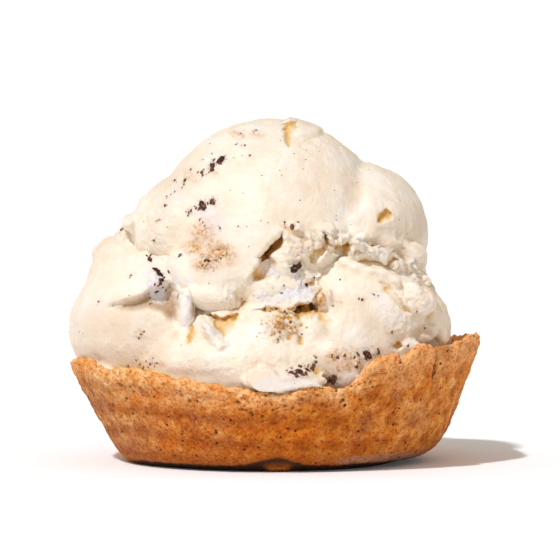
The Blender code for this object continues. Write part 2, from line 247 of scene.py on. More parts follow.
def points_of(made):
    """The object's points in millimetres."""
    found = np.empty(len(made.data.vertices) * 3, np.float32)
    made.data.vertices.foreach_get("co", found)
    return found.reshape(-1, 3).astype(float) / MM


def move_points(made, points):
    made.data.vertices.foreach_set("co", (points * MM).astype(np.float32).ravel())
    made.data.update()


def normals_of(made):
    found = np.empty(len(made.data.vertices) * 3, np.float32)
    made.data.vertex_normals.foreach_get("vector", found)
    return found.reshape(-1, 3).astype(float)


def keep_map(made, name, values):
    """Stores one number a point, for the material to read."""
    kept = made.data.attributes.new(name, "FLOAT", "POINT")
    kept.data.foreach_set("value", np.clip(values, 0, 1).astype(np.float32))


SLOPES = np.random.default_rng(3).normal(0, 1, (64, 3))
SLOPES = SLOPES / np.linalg.norm(SLOPES, axis=1)[:, None]


def swell(points, seed):
    """One smooth random swell a unit apart, near -1 to 1: slopes drawn for a lattice and blended between."""
    cell = np.floor(points).astype(np.int64)
    part = points - cell
    near = part**3 * (part * (part * 6 - 15) + 10)
    total = np.zeros(len(points))
    for corner in np.ndindex(2, 2, 2):
        x, y, z = (cell + corner).T
        drawn = x * 73856093 ^ y * 19349663 ^ z * 83492791 ^ seed * 668265263
        drawn = (drawn ^ (drawn >> 13)) * 1274126177
        slope = SLOPES[((drawn ^ (drawn >> 16)) & 63)]
        weight = np.prod(np.where(corner, near, 1 - near), axis=1)
        total += weight * np.einsum("ij,ij->i", slope, part - corner)
    return 1.6 * total


def rumple(points, spacing, octaves=3, seed=0):
    """Unevenness with lumps of about that spacing and finer ones on them, near -1 to 1."""
    spaced = points / np.array(spacing)
    return sum(swell(spaced * 2.0**k + 7.3 * k, seed + 100 * k) / 1.9**k for k in range(octaves))


def crags(points, spacing, octaves=3, seed=0):
    """Torn, craggy unevenness with sharp crests of about that spacing, near 0 to 1."""
    spaced = points / spacing
    return sum((1 - np.abs(swell(spaced * 2.1**k + 3.7 * k, seed + 100 * k))) ** 2 / 2.0**k
               for k in range(octaves)) / 1.6


def smoothly(values, low, high):
    share = np.clip((values - low) / (high - low), 0, 1)
    return share * share * (3 - 2 * share)


out, inner = DRUM_RADIUS, DRUM_RADIUS - WALL
round_of_rim = WALL / 2
rim_start = DRUM_HEIGHT - round_of_rim
profile = [(r, 0.0) for r in (0, 12, 24, 34, 41, 45, 47.5, 49.0, 49.7)]
profile += [(out, z) for z in np.arange(0.3, rim_start, WALL_ROW)]
profile += [(out - round_of_rim + round_of_rim * math.cos(a), rim_start + round_of_rim * math.sin(a))
            for a in np.linspace(0.12, math.pi - 0.12, 17)]
profile += [(inner, z) for z in np.arange(28.0, 16.0, -0.6)] + [(inner, z) for z in (14, 11, 8)]
profile += [(inner - 0.5, 6.5), (inner - 2, 5), (inner - 5, FLOOR), (32, FLOOR), (16, FLOOR), (0, FLOOR)]
shape = bmesh.new()
corners = [shape.verts.new((0, -r, z)) for r, z in profile]
edges = [shape.edges.new(pair) for pair in zip(corners, corners[1:])]
bmesh.ops.spin(shape, geom=corners + edges, cent=(0, 0, 0), axis=(0, 0, 1), angle=math.tau / 8,
               steps=BOWL_STEPS // 8, use_merge=False)
for turns in (1, 2, 4):  # an eighth of the drum, doubled three times
    copied = bmesh.ops.duplicate(shape, geom=shape.verts[:] + shape.edges[:] + shape.faces[:])["geom"]
    bmesh.ops.rotate(shape, cent=(0, 0, 0), matrix=Matrix.Rotation(math.tau / 8 * turns, 3, "Z"),
                     verts=[part for part in copied if isinstance(part, bmesh.types.BMVert)])
bmesh.ops.remove_doubles(shape, verts=shape.verts, dist=MERGE)
bmesh.ops.recalc_face_normals(shape, faces=shape.faces)
bowl = object_of(shape, "baked_bowl")

drum = points_of(bowl)
azimuth = np.arctan2(drum[:, 0], -drum[:, 1])
drum_radius = np.hypot(drum[:, 0], drum[:, 1])
stretch = (rim_height(azimuth) - FLOOR) / (DRUM_HEIGHT - FLOOR)
height = np.where(drum[:, 2] > FLOOR, FLOOR + (drum[:, 2] - FLOOR) * stretch, drum[:, 2])
depth = DRUM_RADIUS - drum_radius
below_rim = rim_height(azimuth) - height
turn = np.degrees(azimuth)
curl = RIM_CURL * np.clip(1 - below_rim / RIM_CURL_HEIGHT, 0, 1) ** 2 * np.clip(1 - depth / WALL, 0, 1)
arch = np.exp(-(((turn - 1) / 8) ** 2))  # the foot is chipped at the front, where a crumb has stuck under it
lump = np.exp(-(((turn - 1.5) / 5.2) ** 4) - ((height - 0.8) / 1.0) ** 2)
left_side = smoothly(-turn, 40, 78) * (1 - smoothly(-turn, 110, 140))
recess = FOOT_RECESS * np.exp(-((height / (FOOT_RECESS_HEIGHT + 1.6 * arch)) ** 2)) * (depth < 3)
recess *= (1 - 0.8 * lump) * (1 - 0.8 * left_side)
outer = outer_radius(azimuth, height) - crack_depth(azimuth, height) - curl - recess
radius = np.where(depth <= WALL + 0.01, outer - depth, drum_radius / inner * (outer - WALL))
points = np.column_stack((radius * np.sin(azimuth), -radius * np.cos(azimuth), height))
move_points(bowl, points)

facing = normals_of(bowl)
on_wall = (depth < 0.05) & (drum[:, 2] > 0.2)
rim_reach = 6.4 + 2.2 * rumple(points, 7.0, 2, 6) + 3.8 * smoothly(points[:, 0], 9, 30)
near_rim = 1 - smoothly(below_rim, 1.0, rim_reach)
wander = rumple(points, 14.0, 2, 3)
column = azimuth * SQUARES_ROUND / math.tau + 0.16 * wander
band_rise = 2.0 * smoothly(-turn, 10, 60) * (1 - smoothly(-turn, 110, 150))
row = (height - FIRST_ROW - band_rise) / SQUARE_ROW + 0.14 * np.roll(wander, 7)
band = 0.5 + 0.5 * np.cos(math.tau * row)
square = band * (0.5 + 0.5 * np.cos(math.tau * column))
squared = 0.25 + 0.75 * smoothly(turn, -12, 22) * (1 - 0.3 * smoothly(turn, 120, 170))
squared = np.maximum(squared, 0.7 * smoothly(-turn, 95, 130))
dimple = squared * square + (1 - squared) * band * 0.75
dimple = dimple * smoothly(below_rim, 1.2, 4.0) * smoothly(height, 1.0, 3.0) * on_wall
coarse = rumple(points, 3.4, 4, 5)
fine = rumple(points, 1.1, 3, 9)
torn = crags(points, 2.0, 3, 4)
push = -SQUARE_DEPTH * dimple * (1 - 0.6 * left_side) + 0.18 * coarse + 0.16 * fine - 0.22
push += near_rim * (0.26 * coarse + 0.22 * fine - 0.14 * torn)
hidden = (depth > WALL - 0.05) & (height < 15)
push = np.where((height < 0.2) | hidden, 0, push)

draw = np.random.default_rng(31)
front_pits = ((-20.9, 17.4), (-8.1, 15.6), (-5.9, 14.9), (2.6, 16.4), (4.6, 15.9), (12.1, 16.6), (17.6, 16.4),
              (-15.9, 21.9), (22.9, 21.9), (28.9, 25.4), (6.4, 12.9), (-3.1, 13.9), (-36.1, 20.4))
pits = [(math.asin(x / 47.0), z, 0.42, 0.7) for x, z in front_pits]
for _ in range(RIM_PITS):
    way = draw.uniform(-math.pi, math.pi)
    pits.append((way, float(rim_height(np.array([way]))[0]) - abs(draw.normal(0, 3.2)) - 0.3,
                 draw.uniform(0.22, 0.5), draw.uniform(0.3, 0.7)))
# The pits are painted dark. As painted shade, so are the crack, the undercut foot, the ear's top where it
# sits back behind the hump, and the top of the inner wall
pits_and_painted_shade = np.zeros(len(points))
for way, up, size, deep in pits:
    reach = float(outer_radius(np.array([way]), np.array([up]))[0])
    middle = np.array((reach * math.sin(way), -reach * math.cos(way), up))
    close = np.abs(points[:, 2] - up) < 3 * size
    away = np.linalg.norm(points[close] - middle, axis=1)
    hole = np.exp(-((away / size) ** 4))
    push[close] -= deep * hole
    pits_and_painted_shade[close] = np.maximum(pits_and_painted_shade[close], 0.8 * hole)
crack = smoothly(crack_depth(azimuth, height) / CRACK_DEPTH, 0.15, 0.5)
pits_and_painted_shade = np.maximum.reduce([
    pits_and_painted_shade,
    0.84 * crack * (depth < WALL / 2),
    smoothly(recess, 0.2, 0.8) * (1 - 0.6 * lump),
    0.5 * smoothly(turn, 54, 55.5) * (1 - smoothly(turn, 58, 62.5)) * smoothly(height, 24.5, 27.5),
    0.6 * (depth > WALL - 0.3) * smoothly(below_rim, 0.8, 2.0),
])
points = points + facing * push[:, None]
crumbly = (0.34 * rumple(points, 4.6, 3, 2) + 0.1) * near_rim
points[:, 2] += np.where((below_rim < 6) & (height > 10), crumbly, 0)
points[:, 2] = np.maximum(points[:, 2], 0)
points[height == 0, 2] = 0
points[:, 0] = np.minimum(points[:, 0], BOWL_RIGHT)
move_points(bowl, points)
pale_band = 0.6 * smoothly(-points[:, 0], 4, 16) * (1 - smoothly(below_rim + 1.6 * coarse, 4.5, 8.0))
# Painted light: a grey-pink band low on the foot at the front right, for the white board's light bounced onto
# it
bloom = smoothly(height, 0.9, 1.6) * (1 - smoothly(height, 3.0 + 0.6 * coarse, 4.0 + 0.6 * coarse))
bowl_maps = {
    "dimple": dimple,
    "near_rim": np.maximum(near_rim, pale_band) * (1 - 0.5 * hidden),
    "pore": pits_and_painted_shade,
    "up_share": height / DRUM_HEIGHT,
    "left": smoothly(-points[:, 0], 12, 42),
    "right": smoothly(points[:, 0], 14, 36),
    "bloom": bloom * smoothly(turn, 20 + 4 * coarse, 30 + 4 * coarse) * (1 - smoothly(turn, 60, 80)),
}
for name, values in bowl_maps.items():
    keep_map(bowl, name, values)

# Baked waffle batter: a dry, matt, finely porous crust. Sugar browns it unevenly, more at the rim and in the
# thin dimples, where the oil makes it a deeper orange. The crumb is 0.3 to 1 mm.
crust, tree = finish_of("baked waffle crust")
place = add(tree, "TexCoord").outputs["Object"]
maps = {name: add(tree, "Attribute", attribute_name=name).outputs["Fac"] for name in bowl_maps}
patches, blotch, crumb = (
    add(tree, "TexNoise", {"Vector": place, "Scale": 1 / size, "Detail": detail, "Roughness": roughness})
    for size, detail, roughness in ((0.011, 3.0, 0.6), (0.0030, 4.0, 0.7), (0.0009, 3.0, 0.75)))
# Painted light: the right side, which faces away from the lamp, gets a lighter tone
tone, right_painted_light_tone, left_tone = (
    add(tree, "ValToRGB", {"Fac": blotch}, stops=zip((0.32, 0.45, 0.57, 0.72), colours)) for colours in (
        ("#AC5606", "#C87214", "#D98A2C", "#EBB068"),
        ("#BC6612", "#DA8A30", "#ECA654", "#FACC94"),
        ("#A86A32", "#C8884C", "#DCA466", "#EEC492")))
oil_share = add(tree, "MapRange", {"Value": maps["dimple"], "From Min": 0.15, "From Max": 0.85,
                                   "To Max": 0.76})
# Painted light: the dimples are painted less dark on the right
painted_light_right = add(tree, "Math", {0: maps["right"], 1: -0.36, 2: 1.0}, operation="MULTIPLY_ADD")
oil_share = add(tree, "Math", {0: oil_share, 1: painted_light_right}, operation="MULTIPLY")
toast_share = add(tree, "MapRange", {"Value": patches, "From Min": 0.55, "From Max": 0.66, "To Max": 0.6})
mauve_share = add(tree, "MapRange", {"Value": patches, "From Min": 0.47, "From Max": 0.32, "To Max": 0.34})
# Painted shade: darker and a deeper orange towards the foot, less of it on the left
low_painted_shade = add(tree, "MapRange", {"Value": maps["up_share"], "From Min": 0.30, "From Max": 0.03,
                                   "To Max": 0.84})
less_shade_left = add(tree, "Math", {0: maps["left"], 1: -0.6, 2: 1.0}, operation="MULTIPLY_ADD")
low_painted_shade = add(tree, "Math", {0: low_painted_shade, 1: less_shade_left}, operation="MULTIPLY")
for share, colour in (
        (maps["right"], right_painted_light_tone), (maps["left"], left_tone), (oil_share, linear("#A85202")),
        (toast_share, linear("#DE7C0E")), (mauve_share, linear("#B88264")),
        (low_painted_shade, linear("#A45800")), (maps["bloom"], linear("#B0846C"))):
    tone = add(tree, "Mix", {0: share, 6: tone, 7: colour}, data_type="RGBA")
lip_share = add(tree, "Math", {0: maps["near_rim"], 1: 0.9}, operation="MULTIPLY")
lip_tone = add(tree, "ValToRGB", {"Fac": blotch},
               stops=((0.34, "#DC9248"), (0.44, "#F4B672"), (0.54, "#FBCB92"), (0.68, "#FEDCB2")))
# Painted light: the rim is lighter still on the right, which faces away from the lamp
lip_right_painted_light = add(tree, "Math", {0: maps["right"], 1: 0.75}, operation="MULTIPLY")
for share, colour in ((toast_share, "#EE9A3C"), (lip_right_painted_light, "#FFC084")):
    lip_tone = add(tree, "Mix", {0: share, 6: lip_tone, 7: linear(colour)}, data_type="RGBA")
tone = add(tree, "Mix", {0: lip_share, 6: tone, 7: lip_tone}, data_type="RGBA")
grit = add(tree, "ValToRGB", {"Fac": crumb},
           stops=((0.29, "#A06A38"), (0.40, "#E0B88C"), (0.50, "#FBEFDF"), (0.66, "#FFFFFF")))
tone = add(tree, "Mix", {0: 1.0, 6: tone, 7: grit}, data_type="RGBA", blend_type="MULTIPLY")
marks = []  # flecks of flour, then pinholes: a dot in the middle of some of the cells
for size, edge, core, most, channel, above in (
        (0.0013, 0.34, 0.10, 0.22, 1, 0.78), (0.0017, 0.24, 0.12, 1.0, 0, 0.76)):
    cells = add(tree, "TexVoronoi", {"Vector": place, "Scale": 1 / size, "Randomness": 1.0})
    dot = add(tree, "MapRange", {"Value": cells, "From Min": edge, "From Max": core, "To Max": most})
    drawn = add(tree, "SeparateColor", {0: cells.outputs["Color"]}).outputs[channel]
    chosen = add(tree, "Math", {0: drawn, 1: above}, operation="GREATER_THAN")
    marks.append(add(tree, "Math", {0: dot, 1: chosen}, operation="MULTIPLY"))
flecks, pinholes = marks
tone = add(tree, "Mix", {0: flecks, 6: tone, 7: linear("#F5C592")}, data_type="RGBA")
# The pits and pinholes, and the painted shade of the crack, the foot, the ear and the inner wall, in dark
# brown to almost black
holes_and_painted_shade = add(tree, "Math", {0: pinholes, 1: maps["pore"]}, operation="MAXIMUM")
hole_and_shade_share = add(tree, "Math", {0: holes_and_painted_shade, 1: 0.9}, operation="MULTIPLY")
hole_and_shade_tone = add(tree, "ValToRGB", {"Fac": holes_and_painted_shade},
                stops=((0.4, "#94500F"), (0.8, "#5A2A10"), (0.95, "#1E0C06")))
tone = add(tree, "Mix", {0: hole_and_shade_share, 6: tone, 7: hole_and_shade_tone}, data_type="RGBA")
grain_height = add(tree, "Math", {0: crumb, 1: pinholes}, operation="SUBTRACT")
relief = add(tree, "Bump", {"Height": grain_height, "Strength": 0.9, "Distance": 0.0006})
surface = add(tree, "BsdfPrincipled", {"Base Color": tone, "Roughness": 0.82, "IOR": 1.45,
                                       "Specular IOR Level": 0.3, "Normal": relief})
add(tree, "OutputMaterial", {"Surface": surface})
bowl.data.materials.append(crust)
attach(bowl, "root")
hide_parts("waffle_bowl")

# ----------------------------------------
# The bottom scoop
# Vanilla ice cream scooped straight into the bowl. It fills the bowl, swells over the rim on the left and the
# right, and is torn open at the front, where bits of cookie have dragged it. A little has melted over the low
# rim.

CREAM_STEP = 0.6  # the size of the mesh's squares, halved where the cream is torn
BOTTOM_MASSES = (  # centre, half-sizes along X, Y and Z, and how far the top leans to the right, in degrees
    ((10.4, 2.0, 27.0), (33.0, 40.5, 28.0), 0),
    ((19.2, -11.0, 37.0), (22.0, 23.0, 19.0), 0),
    ((-22.2, -2.0, 33.0), (29.0, 27.0, 22.5), 0),
    ((-33.8, 0.0, 44.5), (13.2, 13.0, 10.8), 0),
    ((-39.8, 1.0, 50.2), (5.8, 9.0, 5.6), 0),
    ((-27.0, 2.0, 56.0), (9.2, 15.0, 9.2), 0),
    ((-18.0, 13.0, 31.0), (29.0, 27.0, 23.0), 0),
    ((-3.5, -15.0, 24.5), (32.0, 26.0, 18.5), 0),
    ((2.4, -41.4, 22.4), (10.4, 4.2, 3.0), 0),
)
FILL_BELOW_RIM = (2.2, 5.2, 3.0, 1.4)
FILL_FLOOR, FILL_TOP, FILL_RADIUS = 4.6, 26.0, 46.9
CREAM_LEFT, CREAM_FRONT = -51.2, -46.6  # the furthest that the cream reaches


def add_mass(shape, centre, radii, lean=0.0, detail=4):
    """A rounded mass in the bmesh. A positive lean tips its top to the right."""
    place = (Matrix.Translation(centre) @ Matrix.Rotation(math.radians(lean), 4, "Y")
             @ Matrix.Diagonal((*radii, 1.0)))
    bmesh.ops.create_icosphere(shape, subdivisions=detail, radius=1.0, matrix=place)


def apply_step(made, kind, **settings):
    """Adds one modifier with its settings and makes its result the object's mesh."""
    step = made.modifiers.new(kind.lower(), kind)
    for name, value in settings.items():
        setattr(step, name, value)
    graph = bpy.context.evaluated_depsgraph_get()
    mesh = bpy.data.meshes.new_from_object(made.evaluated_get(graph), depsgraph=graph)
    made.modifiers.clear()
    spent, made.data = made.data, mesh
    bpy.data.meshes.remove(spent)


def one_skin(made, step):
    apply_step(made, "REMESH", mode="VOXEL", voxel_size=step * MM, adaptivity=0.0, use_smooth_shade=True)


def ease(points, made, times, share=1.0):
    """Each point drawn to the middle of its neighbours, so creases round over."""
    pairs = np.empty(len(made.data.edges) * 2, np.int32)
    made.data.edges.foreach_get("vertices", pairs)
    one, other = pairs[0::2], pairs[1::2]
    count = np.bincount(one, minlength=len(points)) + np.bincount(other, minlength=len(points))
    for _ in range(times):
        middle = np.column_stack([
            np.bincount(one, points[other, k], len(points)) + np.bincount(other, points[one, k], len(points))
            for k in range(3)]) / count[:, None]
        points = points + (middle - points) * np.reshape(share, (-1, 1))
    return points


def skin_of(made):
    mesh = made.data
    return BVHTree.FromPolygons([v.co / MM for v in mesh.vertices], [p.vertices for p in mesh.polygons])


def seen(tree, across, up):
    """The skin's point and facing that the camera sees at that place on the front."""
    aim = (Vector((across, 0.0, up)) - CAMERA_PLACE).normalized()
    place, normal, _, _ = tree.ray_cast(CAMERA_PLACE, aim)
    return place, normal


def front_view(points):
    """Where each point shows on the front, across and up."""
    nearer = -CAMERA_PLACE.y / (points[:, 1] - CAMERA_PLACE.y)
    return (CAMERA_PLACE.x + (points[:, 0] - CAMERA_PLACE.x) * nearer,
            CAMERA_PLACE.z + (points[:, 2] - CAMERA_PLACE.z) * nearer)


def dab(view, across, up, width, height, lean=0.0, soft=0.6):
    """How strongly a touch on the front reaches each point: 1 in its middle and 0 at its edge."""
    angle = math.radians(lean)
    dx, dz = view[0] - across, view[1] - up
    from_middle = np.hypot((dx * math.cos(angle) - dz * math.sin(angle)) / width,
                           (dx * math.sin(angle) + dz * math.cos(angle)) / height)
    return smoothly(1 - from_middle, 0, soft)


def dabs(view, touches):
    """The strongest of several touches at each point. The last number of each is its strength."""
    return np.maximum.reduce([strength * dab(view, *touch) for *touch, strength in touches])


def along(view, line):
    """Each point's distance from the line on the front, above zero on its left, and its share along it."""
    line = np.array(line, float)
    lengths = np.linalg.norm(np.diff(line, axis=0), axis=1)
    starts = np.concatenate(([0], np.cumsum(lengths)))
    best = np.full(len(view[0]), 1e9)
    side, way = np.ones(len(best)), np.zeros(len(best))
    for (a, b), length, start in zip(zip(line, line[1:]), lengths, starts):
        ux, uz = (b - a) / length
        dx, dz = view[0] - a[0], view[1] - a[1]
        t = np.clip(dx * ux + dz * uz, 0, length)
        away = np.hypot(dx - t * ux, dz - t * uz)
        nearer = away < best
        best = np.where(nearer, away, best)
        side = np.where(nearer, np.sign(ux * dz - uz * dx), side)
        way = np.where(nearer, (start + t) / starts[-1], way)
    return best * side, way


def ledge(view, line, raised, sunk, reach=2.5, ragged=None):
    """A torn edge: the sheet on the line's left stands raised and crisp over the hollow on its right."""
    away, way = along(view, line)
    if ragged is not None:
        away = away + ragged
    fade = smoothly(way, 0, 0.12) * smoothly(1 - way, 0, 0.12)
    over = raised * np.exp(-np.maximum(away, 0) / reach) * smoothly(away, -0.35, 0.35)
    under = sunk * np.exp(np.minimum(away, 0) / (reach * 0.7)) * (1 - smoothly(away, -0.35, 0.35))
    return (over - under) * fade


def inside(view, outline, edge, ragged=0.0):
    """1 inside the closed outline on the front and 0 outside it, with a border that wide."""
    across, up = view
    best = np.full(len(across), 1e9)
    within = np.zeros(len(across), bool)
    for (ax, az), (bx, bz) in zip(outline, outline[1:] + outline[:1]):
        ux, uz = bx - ax, bz - az
        t = np.clip(((across - ax) * ux + (up - az) * uz) / (ux * ux + uz * uz), 0, 1)
        best = np.minimum(best, np.hypot(across - ax - t * ux, up - az - t * uz))
        if az != bz:
            within ^= ((az > up) != (bz > up)) & (across < ux * (up - az) / uz + ax)
    return smoothly(np.where(within, best, -best) + ragged, -edge, edge)


def tear(made, tears, ragged_seed, patchy_seed):
    """Eases the skin, then sinks the torn places, each crisp, and paints golden shade into them, darkest
    under the upper left edge where the lamp's shadow falls.
    """
    points = ease(points_of(made), made, 3, 0.6)
    move_points(made, points)
    view = front_view(points)
    ahead = smoothly(-normals_of(made)[:, 1], 0.0, 0.25)
    ragged = 0.42 * rumple(points, 1.7, 4, ragged_seed)
    patchy = rumple(points, 2.4, 3, patchy_seed)
    painted_gold_shade = np.zeros(len(points))
    for deep, border, tone, outline in tears:
        torn = inside(view, outline, border, ragged * min(1, border + 0.35)) * ahead
        floor = inside(view, outline, border + 1.0, ragged - 0.5) * ahead
        under = [torn * (1 - inside((view[0] - far, view[1] + far), outline, far, ragged * 0.5))
                 for far in (0.7, 1.7)]
        points[:, 1] += deep * (0.5 * torn + 0.5 * floor)
        share = 0.25 * torn + 0.25 * floor + 0.35 * under[0] + 0.35 * under[1]
        painted_gold_shade = np.maximum(painted_gold_shade, tone * share * (1 + 0.3 * patchy))
    return points, view, ahead, ragged, painted_gold_shade


def refine(made, areas, times=1):
    """Halves the squares of the front that lie in the areas, each a place and half-sizes on the front."""
    shape = bmesh.new()
    shape.from_mesh(made.data)
    points = points_of(made)
    view = front_view(points)
    chosen = np.zeros(len(points), bool)
    for across, up, width, height in areas:
        chosen |= np.hypot((view[0] - across) / width, (view[1] - up) / height) < 1
    chosen &= normals_of(made)[:, 1] < 0.1
    shape.verts.ensure_lookup_table()
    edges = [e for e in shape.edges if chosen[e.verts[0].index] and chosen[e.verts[1].index]]
    bmesh.ops.subdivide_edges(shape, edges=edges, cuts=times, use_grid_fill=True)
    bmesh.ops.triangulate(shape, faces=[f for f in shape.faces if len(f.verts) > 4])
    shape.to_mesh(made.data)
    shape.free()
    made.data.update()


def thin_out(made, hidden, ratio):
    """Makes the squares larger where nothing is seen."""
    group = made.vertex_groups.new(name="hidden")
    group.add([int(k) for k in np.nonzero(hidden)[0]], 1.0, "REPLACE")
    apply_step(made, "DECIMATE", ratio=ratio, vertex_group=group.name, vertex_group_factor=10.0)


def heap(masses, lumps):
    """A bmesh of the masses with the lumps on their front, and the skin of the masses alone."""
    shape, rough_shape = bmesh.new(), bmesh.new()
    for mass in masses:
        add_mass(shape, *mass)
        add_mass(rough_shape, *mass)
    guide = object_of(rough_shape, "guide")
    one_skin(guide, 0.9)
    skin = skin_of(guide)
    bpy.data.objects.remove(guide)
    for across, up, width, thick, tall, lean, out in lumps:
        place, facing = seen(skin, across, up)
        add_mass(shape, place + facing * out, (width, thick, tall), lean, 3)
    return shape, skin


def hollow_shade_map(made, points):
    """How far each point lies under the eased skin, in hollows 1.3 mm deep and fainter in finer ones, for the
    golden shade painted into them.
    """
    found = 0
    for times, depth, strength in ((60, 1.3, 0.62), (8, 0.3, 0.36)):
        below = np.einsum("ij,ij->i", ease(points, made, times) - points, normals_of(made))
        found = np.maximum(found, strength * np.clip(below / depth, 0, 1))
    return found


def keep_cream_maps(made, seed, plain, shade_outlines, painted_shade, smears, stains):
    """Keeps the maps that the cream's finish reads: touches on the front, painted shade among them, and
    chance stains behind.
    """
    points = points_of(made)
    view = front_view(points)
    ahead = smoothly(-normals_of(made)[:, 1], 0.0, 0.25)
    dusty = smoothly(points[:, 1], -6, 6) * 0.7 * smoothly(rumple(points, 8.0, 2, seed), 0.36, 0.55)
    outlined_shade = [strength * inside(view, outline, edge) for strength, edge, outline in shade_outlines]
    for name, values in (
            ("hollow", (1 - 0.8 * dabs(view, plain)) * hollow_shade_map(made, points)),
            ("painted_shade", np.maximum.reduce(outlined_shade + [dabs(view, painted_shade)]) * ahead),
            ("smear", dabs(view, smears) * ahead),
            ("stain", np.maximum(dabs(view, stains) * ahead, dusty))):
        keep_map(made, name, values)


# Lumps and curls on the front, as seen: across, up, half-sizes, lean, and how far their middle stands out
BOTTOM_LUMPS = (
    (-21.9, 37.1, 1.9, 1.9, 5.4, 3, 1.9), (-22.1, 40.1, 2.3, 1.9, 2.8, 20, 1.4),
    (-29.1, 43.4, 2.2, 1.6, 4.4, -12, 0.2), (-15.6, 31.4, 1.3, 1.2, 4.6, -38, 0.2),
    (3.9, 44.4, 7.5, 2.6, 4.6, 4, 0.2), (-3.1, 41.9, 6.0, 2.4, 3.4, -20, 0.0),
    (-7.1, 39.9, 3.6, 2.0, 2.4, -30, 0.2), (1.9, 33.1, 4.8, 1.8, 4.4, -30, -0.2),
    (11.9, 39.9, 2.4, 2.0, 3.4, 20, 0.1), (15.9, 24.4, 6.0, 2.2, 4.8, 40, 0.2),
    (-3.1, 20.4, 3.9, 2.2, 2.9, -10, 0.7), (2.4, 18.9, 7.6, 2.2, 2.2, 0, 0.8),
    (7.9, 18.4, 4.2, 1.8, 1.3, 0, 0.8), (16.9, 19.6, 5.4, 1.8, 1.3, 4, 0.6),
    (33.4, 28.6, 2.8, 1.8, 1.6, 0, 0.6), (37.4, 31.9, 3.2, 2.2, 2.4, 0, 0.2),
    (39.9, 35.4, 3.1, 2.9, 6.6, -15, 1.1), (41.6, 30.4, 1.8, 1.6, 2.6, -30, 1.0),
    (35.1, 39.9, 2.6, 2.2, 4.6, -20, 0.8), (36.6, 39.6, 3.6, 3.2, 3.8, -30, 0.6),
    (17.9, 49.1, 2.4, 1.8, 1.5, 10, 0.5), (20.6, 47.9, 2.2, 1.6, 1.1, -10, 0.5),
    (23.6, 47.1, 2.4, 1.5, 1.2, 0, 0.4), (27.4, 46.4, 2.0, 1.6, 1.3, 20, 0.5),
    (29.6, 44.9, 2.0, 1.6, 1.4, 30, 0.5),
)
shape, _ = heap(BOTTOM_MASSES, BOTTOM_LUMPS)
# The step-like lumps of the torn ridge beside the ball, on the outline
for across, up, size in ((-37.1, 56.4, 2.2), (-38.4, 53.6, 2.4)):
    add_mass(shape, (across, 1.0, up), (size, size * 2.2, size), 0, 3)
fill = [(0, FILL_FLOOR), (30, FILL_FLOOR), (45, FILL_FLOOR), (FILL_RADIUS, 6.5), (FILL_RADIUS, 15)]
fill += [(r, FILL_TOP) for r in (FILL_RADIUS, 36, 20, 0)]
corners = [shape.verts.new((0, -r, z)) for r, z in fill]
edges = [shape.edges.new(pair) for pair in zip(corners, corners[1:])]
bmesh.ops.spin(shape, geom=corners + edges, cent=(0, 0, 0), axis=(0, 0, 1), angle=math.tau, steps=144,
               use_merge=True)
bmesh.ops.remove_doubles(shape, verts=shape.verts, dist=MERGE)
shape.verts.index_update()
bottom = object_of(shape, "cream_bottom")

# The fill takes the shape of the bowl's inside, up to a little below the rim
points = points_of(bottom)
azimuth = np.arctan2(points[:, 0], -points[:, 1])
radius = np.hypot(points[:, 0], points[:, 1])
drum_profile = {(round(r, 2), round(z, 2)) for r, z in fill}
is_fill = np.array([(round(float(r), 2), round(float(z), 2)) in drum_profile
                    for r, z in zip(radius, points[:, 2])])
stretch = rim_height(azimuth) - around(azimuth, FILL_BELOW_RIM) - FILL_FLOOR
height = FILL_FLOOR + (points[:, 2] - FILL_FLOOR) * stretch / (FILL_TOP - FILL_FLOOR)
height = np.where(points[:, 2] > FILL_FLOOR + 0.1, height, points[:, 2])
scaled = (outer_radius(azimuth, height) - WALL + 0.45) * radius / FILL_RADIUS
filled = np.column_stack((scaled * np.sin(azimuth), -scaled * np.cos(azimuth), height))
points = np.where(is_fill[:, None], filled, points)
move_points(bottom, points)
one_skin(bottom, CREAM_STEP)

# What is lower than the rim stays inside the bowl
points = points_of(bottom)
azimuth = np.arctan2(points[:, 0], -points[:, 1])
radius = np.hypot(points[:, 0], points[:, 1])
rim = rim_height(azimuth)
spilling = 3.0 * smoothly(points[:, 2], rim - 1.5, rim + 0.8)
limit = outer_radius(azimuth, np.clip(points[:, 2], 0, None)) - WALL + 0.5 + spilling
limit = np.where(points[:, 2] > rim + 0.8, 99, limit)
share = np.minimum(1, limit / np.maximum(radius, 1e-6))
points[:, :2] *= share[:, None]
points[:, 2] = np.maximum(points[:, 2], FLOOR + 0.4)
move_points(bottom, points)
BOTTOM_REFINED = ((-19.6, 37.9, 15.0, 13.0), (3.4, 38.6, 17.0, 13.5), (35.9, 36.1, 9.5, 12.0),
                  (7.6, 21.4, 17.0, 6.5))
refine(bottom, BOTTOM_REFINED)
